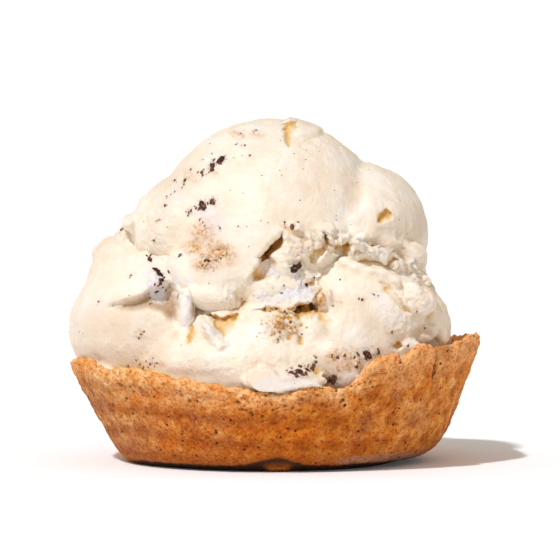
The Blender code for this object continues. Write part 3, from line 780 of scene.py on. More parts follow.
# Where the cream is torn, as seen: how deep it's sunk, its border's width, how strong its painted golden
# shade is, and its outline
BOTTOM_TEARS = (
    (3.2, 1.2, 0.10, ((-40.6, 38.4), (-35.1, 39.9), (-31.1, 42.1), (-28.1, 43.9), (-25.6, 44.1),
                      (-24.9, 41.9), (-24.6, 38.6), (-24.6, 34.9), (-25.4, 34.6), (-27.1, 37.1),
                      (-31.1, 38.4), (-35.6, 37.4))),
    (1.2, 0.6, 0.24, ((-26.9, 44.6), (-25.1, 43.9), (-23.9, 41.9), (-24.4, 39.9), (-26.1, 38.9),
                      (-27.1, 40.9))),
    (2.2, 0.3, 0.30, ((-20.6, 39.4), (-16.6, 38.1), (-17.1, 35.1), (-19.1, 35.9), (-20.1, 34.1),
                      (-20.9, 36.9))),
    (2.8, 0.4, 0.68, ((-16.6, 36.9), (-13.6, 35.6), (-9.1, 36.4), (-10.4, 33.1), (-12.4, 30.1),
                      (-14.4, 32.6))),
    (1.2, 0.5, 0.72, ((-16.4, 36.6), (-13.9, 35.6), (-13.4, 33.9), (-15.1, 34.4))),
    (1.2, 1.0, 0.57, ((-20.6, 34.4), (-19.4, 31.6), (-20.6, 28.6), (-22.1, 29.1), (-21.6, 32.1))),
    (2.4, 0.3, 0.90, ((4.4, 36.6), (5.4, 38.4), (7.4, 39.1), (9.1, 38.6), (10.1, 39.6), (10.9, 38.4),
                      (10.6, 36.9), (9.6, 35.4), (7.6, 35.9), (5.9, 35.1))),
    (0.9, 0.5, 1.15, ((5.9, 39.1), (7.6, 38.9), (7.4, 36.9), (6.1, 36.4))),
    (0.9, 0.5, 1.15, ((9.1, 39.4), (10.9, 39.1), (10.4, 37.1), (9.1, 37.4))),
    (0.5, 0.5, 0.42, ((9.9, 42.4), (11.6, 43.6), (13.4, 41.9), (13.4, 39.1), (11.6, 37.1), (10.4, 38.9))),
    (1.2, 0.4, 0.54, ((5.9, 31.1), (6.9, 30.4), (7.1, 28.4), (6.1, 29.1))),
    (1.3, 1.0, 0.52, ((10.4, 37.4), (12.4, 37.6), (14.4, 34.4), (13.4, 32.9), (11.4, 34.6))),
    (1.6, 0.5, 0.50, ((26.6, 44.6), (28.9, 43.4), (31.4, 40.6), (33.9, 36.9), (32.4, 37.4), (29.6, 40.1),
                      (27.4, 42.6))),
    (1.6, 0.4, 0.55, ((29.6, 28.6), (30.9, 29.6), (31.9, 28.4), (30.6, 27.6))),
    (1.2, 1.0, 0.22, ((34.6, 32.4), (37.4, 33.9), (41.1, 32.4), (40.9, 29.6), (37.6, 29.6), (35.1, 30.4))),
    (2.2, 1.1, 0.24, ((-7.1, 43.6), (-3.1, 47.9), (-1.1, 46.6), (-4.4, 41.9), (-6.6, 38.4), (-9.1, 35.6),
                      (-10.6, 37.6), (-8.6, 40.6))),
    (0.6, 0.25, 0.60, ((-3.1, 37.6), (-0.6, 38.1), (2.6, 37.1), (6.1, 37.6), (5.9, 36.6), (2.1, 36.1),
                       (-1.1, 37.1), (-2.9, 36.9))),
    (0.7, 0.4, 0.16, ((-5.4, 22.9), (-3.1, 23.4), (0.1, 23.4), (3.9, 22.1), (9.9, 21.4), (12.9, 20.1),
                      (10.9, 20.1), (6.4, 21.1), (0.4, 22.4), (-3.1, 22.1))),
    (0.8, 0.8, 0.35, ((10.6, 21.4), (13.4, 18.6), (17.6, 18.1), (21.9, 20.4), (21.9, 18.9), (17.6, 16.9),
                      (12.6, 17.1))),
)
BOTTOM_FLAPS = (  # what stands out: how far, how wide its border is, and its outline
    (1.3, 0.9, ((-19.1, 36.9), (-17.1, 35.6), (-11.9, 28.6), (-13.9, 27.6), (-17.6, 31.6))),
    (0.9, 0.5, ((-28.4, 47.9), (-26.6, 47.4), (-19.1, 42.4), (-20.6, 40.4), (-24.6, 42.6), (-27.4, 45.1))),
    (1.1, 0.35, ((-5.6, 41.9), (-1.1, 47.4), (2.6, 49.4), (8.9, 49.9), (12.4, 48.9), (10.9, 45.1),
                 (11.6, 43.1), (10.4, 41.4), (9.1, 39.9), (7.6, 39.1), (5.6, 38.9), (2.6, 37.6), (-1.1, 38.4),
                 (-4.6, 37.6), (-7.9, 37.6))),
    (0.9, 1.6, ((10.4, 28.6), (13.9, 29.9), (19.4, 26.9), (22.4, 22.9), (21.4, 19.9), (17.6, 18.6),
                (13.4, 20.9))),
    (0.8, 1.4, ((-44.6, 41.9), (-39.1, 43.4), (-33.6, 44.9), (-29.1, 43.9), (-31.6, 41.9), (-36.6, 39.9),
                (-42.6, 38.9))),
)
points, view, ahead, ragged, painted_gold_shade = tear(bottom, BOTTOM_TEARS, 21, 27)
for out, border, outline in BOTTOM_FLAPS:
    points[:, 1] -= out * inside(view, outline, border, ragged) * ahead
# The porous patch where a pale cookie crumbled: pits half a millimetre to a millimetre across, with painted
# golden shade in each
draw = np.random.default_rng(12)
for _ in range(60):
    across, up, size = draw.normal(1.6, 2.5), draw.normal(34.4, 2.2), draw.uniform(0.22, 0.55)
    from_pit = np.hypot(view[0] - across, view[1] - up) / size
    pit = np.exp(-(from_pit**4)) * ahead
    points[:, 1] += 0.9 * size * pit
    painted_gold_shade = np.maximum(painted_gold_shade, 0.62 * pit)
move_points(bottom, points)
facing = normals_of(bottom)
rough = 0.12 + 0.88 * dabs(view, (
    (0.1, 43.6, 12.5, 6.0, 0, 0.4, 1), (1.9, 33.6, 6.5, 6.0, 0, 0.5, 0.7),
    (35.6, 38.4, 6.0, 11.0, 10, 0.5, 0.45), (8.9, 39.9, 5.0, 5.0, 0, 0.5, 1),
    (-28.6, 46.9, 5.0, 7.0, 20, 0.5, 0.6), (-17.6, 33.6, 6.0, 6.0, 0, 0.5, 0.5),
    (-12.4, 23.6, 14.0, 3.5, 0, 0.5, 0.5)))
behind = smoothly(points[:, 1], -6, 6)
patchy = smoothly(rumple(points, 17.0, 2, 40), 0.0, 0.35)
rough = np.maximum(rough * (1 - behind), behind * (0.2 + 0.8 * patchy))
ridge = smoothly(points[:, 2], 47, 53) * smoothly(-points[:, 0], 18, 26)
rough = np.maximum(rough, 0.6 * ridge)
push = (0.40 * rumple(points, 10.0, 2, 22) + 0.16 * rumple(points, 3.2, 3, 23)
        + 0.07 * rumple(points, 1.1, 2, 24))
push += rough * (1.1 * crags(points, 3.0, 4, 25) - 0.75 + 0.40 * rumple(points, 1.5, 3, 26))
azimuth = np.arctan2(points[:, 0], -points[:, 1])
under_rim = points[:, 2] < rim_height(azimuth) - 6
push[under_rim] = 0
points = points + facing * push[:, None]
points[:, 0] = np.maximum(points[:, 0], CREAM_LEFT)
points[:, 1] = np.maximum(points[:, 1], CREAM_FRONT)
move_points(bottom, points)
keep_map(bottom, "painted_gold_shade", painted_gold_shade)
keep_map(bottom, "rough", rough)
# Nothing is seen where the top scoop sits, nor inside the bowl
seat = (np.hypot(points[:, 0] - 3, points[:, 1] - 2) < 21) & (points[:, 2] > 34) & (facing[:, 2] > 0.3)
thin_out(bottom, under_rim | seat, 0.75)
# Painted shade: a greyer tan under the ledges, in the valleys and on the slopes turned from the lamp, and
# painted see-through light on the folds
keep_cream_maps(
    bottom, 41,
    plain=(
        (-33.6, 58.6, 12.0, 13.0, 0, 0.3, 1), (-31.1, 38.4, 13.0, 6.0, 0, 0.3, 1)),
    shade_outlines=(
        (1.0, 1.3, ((-39.6, 38.1), (-35.1, 39.9), (-31.1, 41.9), (-28.1, 43.4), (-25.1, 42.1), (-24.4, 39.1),
                    (-24.6, 35.1), (-26.4, 35.4), (-28.6, 37.1), (-31.6, 38.1), (-35.6, 37.4))),
        (0.60, 1.2, ((-6.4, 46.9), (-3.1, 48.4), (-2.6, 45.4), (-6.1, 41.9), (-8.6, 37.4), (-10.9, 36.4),
                     (-10.4, 39.9))),
        (0.45, 0.8, ((36.9, 47.9), (38.9, 47.9), (40.9, 43.9), (42.9, 39.4), (45.1, 31.9), (44.6, 29.4),
                     (42.9, 30.4), (42.6, 35.4), (40.9, 39.9), (37.9, 42.9), (35.6, 44.1)))),
    painted_shade=(
        (16.4, 23.4, 6.5, 5.0, 0, 0.5, 0.40), (37.4, 31.4, 3.4, 2.6, 0, 0.5, 0.50),
        (-39.1, 31.4, 17.0, 12.0, 0, 0.5, 0.24), (11.9, 32.1, 3.0, 4.0, 30, 0.8, 0.40),
        (-21.1, 21.9, 16.0, 1.6, 0, 0.8, 0.35), (6.4, 20.4, 7.0, 1.0, -8, 0.8, 0.50)),
    smears=(
        (-29.4, 43.1, 3.2, 5.2, -12, 0.5, 1), (-31.1, 46.9, 2.4, 3.4, 20, 0.6, 0.7),
        (1.4, 46.1, 10.0, 4.5, 10, 0.7, 0.7), (3.4, 42.1, 9.0, 3.6, 0, 0.5, 0.9),
        (-0.9, 42.4, 5.4, 4.4, 0, 0.5, 0.75), (7.9, 46.9, 4.0, 2.4, 35, 0.5, 1),
        (2.6, 18.9, 9.5, 3.0, 0, 0.4, 0.5), (19.4, 19.9, 6.0, 2.5, -10, 0.6, 0.8),
        (-21.9, 36.9, 2.2, 5.4, 3, 0.5, 0.7), (-15.6, 32.1, 1.6, 4.6, -38, 0.6, 0.5)),
    stains=(
        (1.9, 33.4, 6.2, 5.4, -20, 0.7, 0.62), (16.6, 25.4, 5.6, 4.4, 0, 0.8, 0.9),
        (-33.4, 31.6, 2.4, 2.0, 0, 0.9, 0.9), (-25.1, 31.4, 2.0, 1.8, 0, 0.9, 0.5),
        (-29.1, 23.9, 4.5, 1.4, 0, 0.9, 0.7), (11.1, 39.9, 1.9, 3.4, 0, 0.7, 1),
        (16.4, 39.1, 1.6, 1.2, 0, 0.9, 0.6), (37.6, 32.1, 3.4, 2.6, 0, 0.8, 0.25),
        (24.1, 25.9, 3.4, 2.4, 0, 0.8, 0.6)))

# Frozen cream, milk and vanilla, cut by a warm scoop: almost white, a little see-through, so light spreads
# inside it and turns its hollows golden. Its skin is damp satin with 0.3 to 1 mm ice crystals. Cookie dust
# tints it in places.
cream, tree = finish_of("vanilla ice cream")
place = add(tree, "TexCoord").outputs["Object"]
maps = {name: add(tree, "Attribute", attribute_name=name).outputs["Fac"]
        for name in ("hollow", "painted_gold_shade", "rough", "smear", "stain", "dust", "painted_shade")}
cloud, crystal, mottle = (
    add(tree, "TexNoise", {"Vector": place, "Scale": 1 / size, "Detail": 3.0, "Roughness": roughness})
    for size, roughness in ((0.009, 0.55), (0.0008, 0.65), (0.0022, 0.6)))
tone = add(tree, "ValToRGB", {"Fac": cloud}, stops=((0.3, "#EBD9C4"), (0.5, "#F0E3D1"), (0.7, "#F2E9DF")))
# Painted shade: the hollows and torn places are painted golden, the deepest dark brown to almost black
deep = add(tree, "Math", {0: maps["hollow"], 1: maps["painted_gold_shade"]}, operation="MAXIMUM")
painted_gold_tone = add(tree, "ValToRGB", {"Fac": deep},
                stops=((0.20, "#EFDAB8"), (0.45, "#E0B673"), (0.66, "#C88A22"), (0.84, "#8C5202"),
                       (1.0, "#2C1205")))
painted_gold_share = add(tree, "MapRange", {"Value": deep, "From Min": 0.08, "From Max": 0.42, "To Max": 0.97})
dust_tone = add(tree, "ValToRGB", {"Fac": crystal},
                stops=((0.34, "#925F38"), (0.44, "#CC9A6C"), (0.60, "#E6C6A2")))
dust_share, soot_share, smear_share = (
    add(tree, "Math", {
        0: maps[name],
        1: add(tree, "MapRange", {"Value": grain, "From Min": first, "From Max": last, "To Min": least,
                                  "To Max": most})}, operation="MULTIPLY")
    for name, grain, first, last, least, most in (
        ("stain", mottle, 0.30, 0.58, 0.15, 1.0), ("dust", crystal, 0.54, 0.44, 0.0, 0.6),
        ("smear", mottle, 0.2, 0.7, 0.5, 1.0)))
# Painted shade in a greyer tan, then the painted golden shade, then cookie dust, darker dust by the crumbs
# and whiter smears
for share, colour in ((maps["painted_shade"], linear("#BA9C7C")), (painted_gold_share, painted_gold_tone), (dust_share, dust_tone),
                      (soot_share, linear("#6A3826")), (smear_share, linear("#E6E2E6"))):
    tone = add(tree, "Mix", {0: share, 6: tone, 7: colour}, data_type="RGBA")
crystals = add(tree, "MapRange", {"Value": maps["rough"], "To Min": 0.3, "To Max": 1.2})
skin_height = add(tree, "Math", {0: crystal, 1: crystals}, operation="MULTIPLY")
skin_height = add(tree, "Math", {0: mottle, 1: 0.35, 2: skin_height}, operation="MULTIPLY_ADD")
relief = add(tree, "Bump", {"Height": skin_height, "Strength": 0.9, "Distance": 0.0006})
surface = add(tree, "BsdfPrincipled", {
    "Base Color": tone, "Roughness": 0.42, "IOR": 1.36, "Specular IOR Level": 0.45, "Subsurface Weight": 0.45,
    "Subsurface Radius": (1.0, 0.72, 0.40), "Subsurface Scale": 0.0008, "Normal": relief},
    subsurface_method="RANDOM_WALK")
add(tree, "OutputMaterial", {"Surface": surface})
bottom.data.materials.clear()
bottom.data.materials.append(cream)
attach(bottom, "root")
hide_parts("bottom_scoop")

# ----------------------------------------
# The top scoop
# A second ball pressed into the first. The scoop rolled a smooth lobe over on its right, peeled a strip up at
# the front, and left a torn, fluffy skirt all round its foot.

TOP_MASSES = (
    ((-0.8, -1.0, 55.6), (29.5, 29.8, 29.7), 0),
    ((20.6, 0.0, 56.6), (17.8, 25.0, 18.0), 0),
    ((3.0, 12.0, 52.0), (25.0, 22.0, 25.0), 0),
    ((-14.0, 0.0, 53.0), (18.5, 21.5, 20.0), 0),
    ((-22.5, -1.0, 59.0), (12.0, 18.5, 15.0), 41),
    ((-14.5, -17.0, 46.6), (12.5, 13.5, 9.2), 10),
    ((3.6, -26.0, 45.4), (9.0, 5.0, 5.4), -10),
    ((13.0, -24.0, 57.2), (5.2, 4.4, 3.6), 0),
    ((21.6, -23.4, 55.6), (5.2, 4.6, 3.8), 0),
    ((27.6, -21.0, 53.4), (4.8, 4.6, 3.8), 0),
    ((32.4, -17.6, 50.8), (5.2, 5.0, 4.6), 0),
    ((32.6, -16.0, 46.4), (5.0, 5.0, 4.8), 0),
)
TOP_SEAT = 38.0
TOP_HEIGHT = 85.8
TOP_LUMPS = (
    (-20.4, 40.4, 4.0, 2.2, 1.8, 14, 0.1), (-14.4, 38.4, 3.4, 2.4, 2.2, 0, 0.2),
    (-17.1, 39.6, 4.6, 2.2, 1.9, 12, 0.5), (-13.4, 39.4, 4.0, 2.2, 2.2, 4, 0.5),
    (-16.1, 41.1, 6.4, 2.4, 2.4, 6, 0.1), (-10.9, 39.4, 2.4, 2.2, 1.8, 30, 0.1),
    (6.9, 53.6, 3.6, 2.4, 3.6, -20, 0.4), (9.4, 51.9, 3.2, 2.6, 3.0, -20, 0.6),
    (3.4, 50.4, 3.4, 2.0, 4.4, 10, 0.2),
)
shape, top_heap = heap(TOP_MASSES, TOP_LUMPS)
# The step-like edge that the scoop tore along the ball's left
for across, up, size in ((-29.4, 66.4, 1.9), (-31.9, 64.1, 2.0), (-32.9, 62.1, 2.0), (-35.9, 59.4, 2.3)):
    add_mass(shape, (across, -2.0, up), (size, size * 4, size), 0, 3)
draw = np.random.default_rng(5)
SKIRT = ((6.4, 55.4), (9.6, 55.1), (12.9, 55.4), (16.4, 54.6), (19.4, 53.1), (21.9, 52.6), (24.9, 51.6),
         (27.1, 50.9), (29.9, 49.4), (32.4, 47.4), (33.9, 45.4), (35.4, 43.4))
for across, up in SKIRT:
    for _ in range(6):
        place, facing = seen(top_heap, across + draw.normal(0, 1.4), up + draw.normal(0, 1.3))
        size = draw.uniform(0.8, 2.2)
        if place is None:
            continue
        add_mass(shape, place + facing * draw.uniform(0.3, 1.5), (size * draw.uniform(0.8, 1.4), size, size),
                 draw.uniform(-40, 40), 3)
for turn in np.arange(75.0, 290.0, 4.5):
    angle = math.radians(turn + draw.normal(0, 1.5))
    out = Vector((math.sin(angle), -math.cos(angle), 0))
    start = out * 80 + Vector((3.0, 2.0, 44.0 + draw.normal(0, 1.6)))
    place, facing, _, _ = top_heap.ray_cast(start, -out)
    size = draw.uniform(1.4, 2.9)
    if place is None:
        continue
    add_mass(shape, place + facing * draw.uniform(0.0, 1.0), (size * 1.2, size * 1.2, size),
             draw.uniform(-30, 30), 3)
top = object_of(shape, "cream_top")
one_skin(top, CREAM_STEP)
points = points_of(top)
points[:, 2] = np.maximum(points[:, 2], TOP_SEAT)
move_points(top, points)
TOP_REFINED = ((17.6, 51.1, 27.0, 9.5), (-15.6, 40.9, 12.0, 8.0), (-0.6, 51.1, 9.5, 9.5),
               (3.4, 80.9, 4.5, 5.0), (27.6, 60.9, 4.0, 3.0), (-28.6, 61.1, 5.5, 12.0))
refine(top, TOP_REFINED)
TOP_TEARS = (
    (2.2, 0.4, 0.56, ((2.1, 83.9), (5.9, 84.4), (5.9, 82.4), (4.6, 80.9), (3.6, 77.9), (2.9, 79.9),
                      (2.4, 82.1))),
    (0.6, 0.4, 0.58, ((2.1, 83.6), (3.6, 83.4), (3.4, 80.9), (2.9, 79.4))),
    (1.8, 0.4, 0.56, ((25.9, 60.1), (26.6, 61.6), (27.9, 62.4), (29.1, 61.9), (29.4, 60.6), (28.1, 60.4),
                      (27.4, 59.6), (25.9, 59.4))),
    (4.2, 0.22, 0.80, ((1.4, 56.9), (2.1, 55.1), (1.6, 53.4), (-0.6, 51.6), (-1.6, 50.6), (-3.9, 49.6),
                       (-4.6, 50.6), (-2.1, 53.4))),
    (2.4, 0.4, 0.10, ((-4.1, 50.1), (-1.1, 51.1), (0.1, 49.4), (-0.9, 46.1), (-3.1, 45.1), (-5.6, 44.9))),
    (1.3, 0.3, 0.44, ((2.4, 58.4), (4.4, 57.9), (7.1, 56.6), (8.1, 54.9), (7.1, 52.9), (6.4, 54.9),
                      (4.4, 55.9), (2.9, 57.1))),
    (2.4, 0.25, 0.46, ((12.1, 57.1), (13.1, 56.4), (13.9, 54.6), (15.6, 54.1), (16.6, 53.4), (18.1, 54.1),
                       (19.4, 53.9), (19.1, 50.9), (17.4, 50.4), (15.4, 51.6), (13.1, 52.1), (11.4, 50.4),
                       (10.1, 48.6), (8.9, 49.4), (8.4, 50.9), (9.6, 52.4), (11.6, 53.4))),
    (0.8, 0.25, 0.72, ((12.1, 56.6), (13.6, 55.4), (14.4, 54.1), (16.6, 53.4), (18.4, 54.4), (19.4, 53.4),
                       (18.1, 52.4), (16.1, 52.6), (13.6, 53.4), (12.4, 54.6))),
    (1.6, 0.3, 0.50, ((21.1, 49.9), (22.9, 50.4), (25.4, 49.4), (27.4, 49.9), (27.1, 47.9), (24.9, 47.9),
                      (21.9, 48.4))),
    (1.2, 0.3, 0.50, ((27.9, 49.4), (29.9, 50.9), (30.9, 50.1), (29.4, 48.9), (28.4, 46.4), (27.1, 46.9))),
    (1.0, 0.5, 0.38, ((32.4, 49.4), (34.4, 47.9), (35.4, 44.9), (33.9, 43.9), (32.4, 45.9))),
    (0.3, 0.35, 0.22, ((-12.6, 44.9), (-10.1, 45.6), (-7.9, 44.1), (-7.1, 41.9), (-8.6, 40.1), (-7.9, 42.4),
                       (-9.1, 44.1), (-11.1, 44.4), (-12.4, 43.1), (-12.1, 40.9), (-13.4, 42.1))),
)
points, view, ahead, ragged, painted_gold_shade = tear(top, TOP_TEARS, 51, 58)
move_points(top, points)
facing = normals_of(top)
wobble = rumple(points, 2.6, 2, 51) * 0.8
push = 0.9 * dab(view, 7.4, 83.4, 5.6, 3.0, 4, 0.25) * (view[0] < 12.6)
push += ahead * ledge(view, ((-7.6, 43.9), (-3.1, 50.4), (2.6, 58.1)), 0.9, 0.5, 2.6)
away, way = along(view, ((17.9, 58.4), (19.4, 62.9), (20.6, 66.4), (21.9, 74.1)))
push -= 0.6 * ahead * np.exp(-((away / 2.7) ** 2)) * smoothly(way, 0, 0.3)
push += ahead * ledge(view, ((18.4, 55.4), (22.9, 54.1), (27.6, 52.9), (32.1, 50.4), (35.9, 45.9),
                             (38.4, 42.4)), -3.2, -0.5, 3.6, wobble * 0.5)
push += ahead * ledge(view, ((-31.4, 50.9), (-31.4, 61.9), (-28.1, 69.4)), -0.2, -0.2, 1.6, wobble * 0.5)
push += ahead * ledge(view, ((-9.6, 38.6), (-11.6, 37.1), (-13.9, 35.9), (-17.1, 37.9), (-20.6, 39.4),
                             (-24.1, 41.9)), -0.2, -0.5, 1.6, wobble * 0.2)
foot = 1 - smoothly(points[:, 2], 44, 50)
rough = 0.1 + 0.9 * dabs(view, [(x, z, 4.2, 4.2, 0, 0.6, 1) for x, z in SKIRT] + [
    (5.9, 51.9, 6.0, 7.0, 0, 0.5, 1), (-17.6, 52.4, 6.5, 7.0, 0, 0.5, 0.5),
    (-28.6, 61.1, 5.0, 11.0, 20, 0.6, 0.4), (-11.1, 40.9, 4.0, 4.0, 0, 0.6, 0.7)]) * (points[:, 1] < 5)
behind = smoothly(points[:, 1], -6, 6)
patchy = smoothly(rumple(points, 17.0, 2, 42), 0.05, 0.4)
rough = np.maximum.reduce([rough, behind * (0.1 + 0.6 * patchy), behind * foot])
streaks = rumple(points, (1.3, 1.3, 11.0), 2, 53)
streaked = dabs(view, ((28.9, 61.1, 12.0, 18.0, 0, 0.6, 1), (11.4, 73.6, 12.0, 14.0, 0, 0.8, 0.7)))
push += (0.36 * rumple(points, 11.0, 2, 52) + 0.14 * rumple(points, 3.2, 3, 54)
         + 0.06 * rumple(points, 1.2, 2, 55))
push += 0.10 * streaks * streaked
push += rough * (1.2 * crags(points, 2.6, 4, 56) - 0.8 + 0.42 * rumple(points, 1.4, 3, 57))
push *= smoothly(points[:, 2], TOP_SEAT, TOP_SEAT + 2)
points = points + facing * push[:, None]
points[:, 2] = np.clip(points[:, 2], TOP_SEAT, TOP_HEIGHT)
move_points(top, points)
keep_map(top, "painted_gold_shade", painted_gold_shade)
keep_map(top, "rough", rough)
thin_out(top, (points[:, 2] < TOP_SEAT + 0.2) & (np.hypot(points[:, 0] - 3, points[:, 1] - 2) < 26), 0.93)
keep_cream_maps(
    top, 43,
    plain=(
        (-32.4, 59.9, 10.0, 14.0, 0, 0.3, 1), (20.6, 67.4, 5.0, 12.0, 0, 0.3, 1),
        (30.1, 52.4, 12.0, 5.0, 20, 0.3, 0.7)),
    # Painted shade in a greyer tan: under the peeled strip, under the lobe and on the slopes turned from the
    # lamp
    shade_outlines=(
        (0.75, 0.8, ((-3.6, 50.4), (-1.1, 51.4), (0.4, 49.4), (-0.9, 45.9), (-3.1, 45.1), (-5.1, 44.9))),),
    painted_shade=(
        (19.9, 66.1, 2.6, 8.0, 10, 0.8, 0.40), (30.1, 53.4, 9.0, 2.6, 20, 0.8, 0.45),
        (-17.4, 49.4, 4.4, 2.6, 0, 0.8, 0.40), (33.9, 55.9, 13.0, 12.0, 0, 0.7, 0.22),
        (-23.6, 70.4, 8.0, 13.0, 40, 0.8, 0.16), (-15.6, 59.4, 5.0, 4.0, 0, 0.9, 0.30)),
    smears=(
        (-15.9, 62.1, 2.4, 2.2, 0, 0.8, 0.9), (-14.6, 59.4, 5.0, 4.4, 0, 0.8, 0.5),
        (-18.6, 61.6, 3.6, 2.0, 0, 0.8, 0.6), (-25.1, 45.1, 2.0, 4.0, -40, 0.7, 0.6),
        (-2.1, 47.9, 2.6, 3.0, 0, 0.7, 0.7), (-13.6, 74.9, 1.8, 1.8, 0, 0.8, 0.6)),
    stains=(
        (-17.9, 57.1, 5.2, 3.6, 0, 0.8, 1), (-20.1, 53.1, 4.4, 3.0, 0, 0.8, 1),
        (-14.4, 51.6, 6.8, 4.8, 10, 0.7, 1), (-17.1, 48.9, 5.2, 3.2, 0, 0.8, 1),
        (-15.1, 72.4, 3.0, 1.6, 60, 0.8, 0.6), (-21.1, 70.9, 4.6, 1.4, 40, 0.8, 0.4),
        (-20.6, 62.1, 2.0, 1.2, 40, 0.8, 0.8), (-9.1, 81.1, 3.4, 1.5, 20, 0.8, 0.8),
        (-4.6, 81.1, 3.6, 1.6, 0, 0.9, 0.4), (2.6, 58.4, 2.0, 1.0, 0, 0.8, 0.7)))
top.data.materials.clear()
top.data.materials.append(cream)
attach(top, "root")
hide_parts("top_scoop")

# ----------------------------------------
# The cookie pieces
# Chocolate sandwich cookies broken into the cream: dark shards with a dry, porous break, and softened tan
# lumps of the pale cookie. Each lies in a pocket of its scoop.

top_skin, bottom_skin = skin_of(top), skin_of(bottom)


def seen_first(across, up):
    """The place and facing of whichever scoop the camera sees there."""
    found = [hit for hit in (seen(top_skin, across, up), seen(bottom_skin, across, up)) if hit[0] is not None]
    return min(found, key=lambda hit: hit[0].y) if found else (None, None)


def add_shard(shape, centre, facing, sizes, turn, seed, detail=3, angular=0.45, coarse=0.34):
    """A broken bit of cookie, slim along the facing: a ball pressed flat on several sides and crazed."""
    draw = np.random.default_rng(seed)
    made = bmesh.new()
    bmesh.ops.create_icosphere(made, subdivisions=detail, radius=1.0)
    sides = [Vector(draw.normal(0, 1, 3)).normalized() for _ in range(9)]
    depths = draw.uniform(angular, angular + 0.25, 9)
    offset = Vector((seed * 3.7, seed * 1.9, seed * 0.7))
    for vertex in made.verts:
        for side, depth in zip(sides, depths):
            past = vertex.co.dot(side) - depth
            if past > 0:
                vertex.co -= side * past
        vertex.co *= 1 + coarse * noise.fractal(vertex.co * 2.6 + offset, 0.8, 2.0, 3)
    level = Vector((0, 0, 1)).cross(facing)
    level = level.normalized() if level.length > 0.01 else Vector((1, 0, 0))
    lie = Matrix((level, facing.cross(level), facing)).transposed().to_4x4()
    place = (Matrix.Translation(centre) @ lie @ Matrix.Rotation(math.radians(turn), 4, "Z")
             @ Matrix.Diagonal((*sizes, 1.0)))
    made.transform(place)
    piece = bpy.data.meshes.new("shard")
    made.to_mesh(piece)
    made.free()
    shape.from_mesh(piece)
    bpy.data.meshes.remove(piece)


# Chocolate cookie, baked almost black: a dry, open crumb, matt, with reddish-brown grains where it broke
dark, tree = finish_of("dark cookie crumb")
place = add(tree, "TexCoord").outputs["Object"]
grains = add(tree, "TexNoise", {"Vector": place, "Scale": 1 / 0.0009, "Detail": 3.0, "Roughness": 0.7})
tone = add(tree, "ValToRGB", {"Fac": grains},
           stops=((0.38, "#1B0D0C"), (0.49, "#351A14"), (0.57, "#6A3928"), (0.68, "#A87A66")))
relief = add(tree, "Bump", {"Height": grains, "Strength": 0.9, "Distance": 0.0004})
grit = add(tree, "Attribute", attribute_name="grit").outputs["Fac"]
tone = add(tree, "Mix", {0: grit, 6: tone, 7: linear("#8A5038")}, data_type="RGBA")
surface = add(tree, "BsdfPrincipled", {"Base Color": tone, "Roughness": 0.6, "IOR": 1.45,
                                       "Specular IOR Level": 0.35, "Normal": relief})
add(tree, "OutputMaterial", {"Surface": surface})

# Pale cookie softened by the cream: tan crumb, browner in its pores, filmed with cream
pale, tree = finish_of("pale cookie crumb")
place = add(tree, "TexCoord").outputs["Object"]
grains = add(tree, "TexNoise", {"Vector": place, "Scale": 1 / 0.0013, "Detail": 4.0, "Roughness": 0.7})
tone = add(tree, "ValToRGB", {"Fac": grains},
           stops=((0.32, "#8A5524"), (0.42, "#CE9458"), (0.52, "#E6BD8E"), (0.66, "#F2E0C6")))
relief = add(tree, "Bump", {"Height": grains, "Strength": 0.9, "Distance": 0.0006})
surface = add(tree, "BsdfPrincipled", {
    "Base Color": tone, "Roughness": 0.6, "IOR": 1.4, "Specular IOR Level": 0.3, "Subsurface Weight": 0.3,
    "Subsurface Radius": (1.0, 0.6, 0.3), "Subsurface Scale": 0.0008, "Normal": relief},
    subsurface_method="RANDOM_WALK")
add(tree, "OutputMaterial", {"Surface": surface})

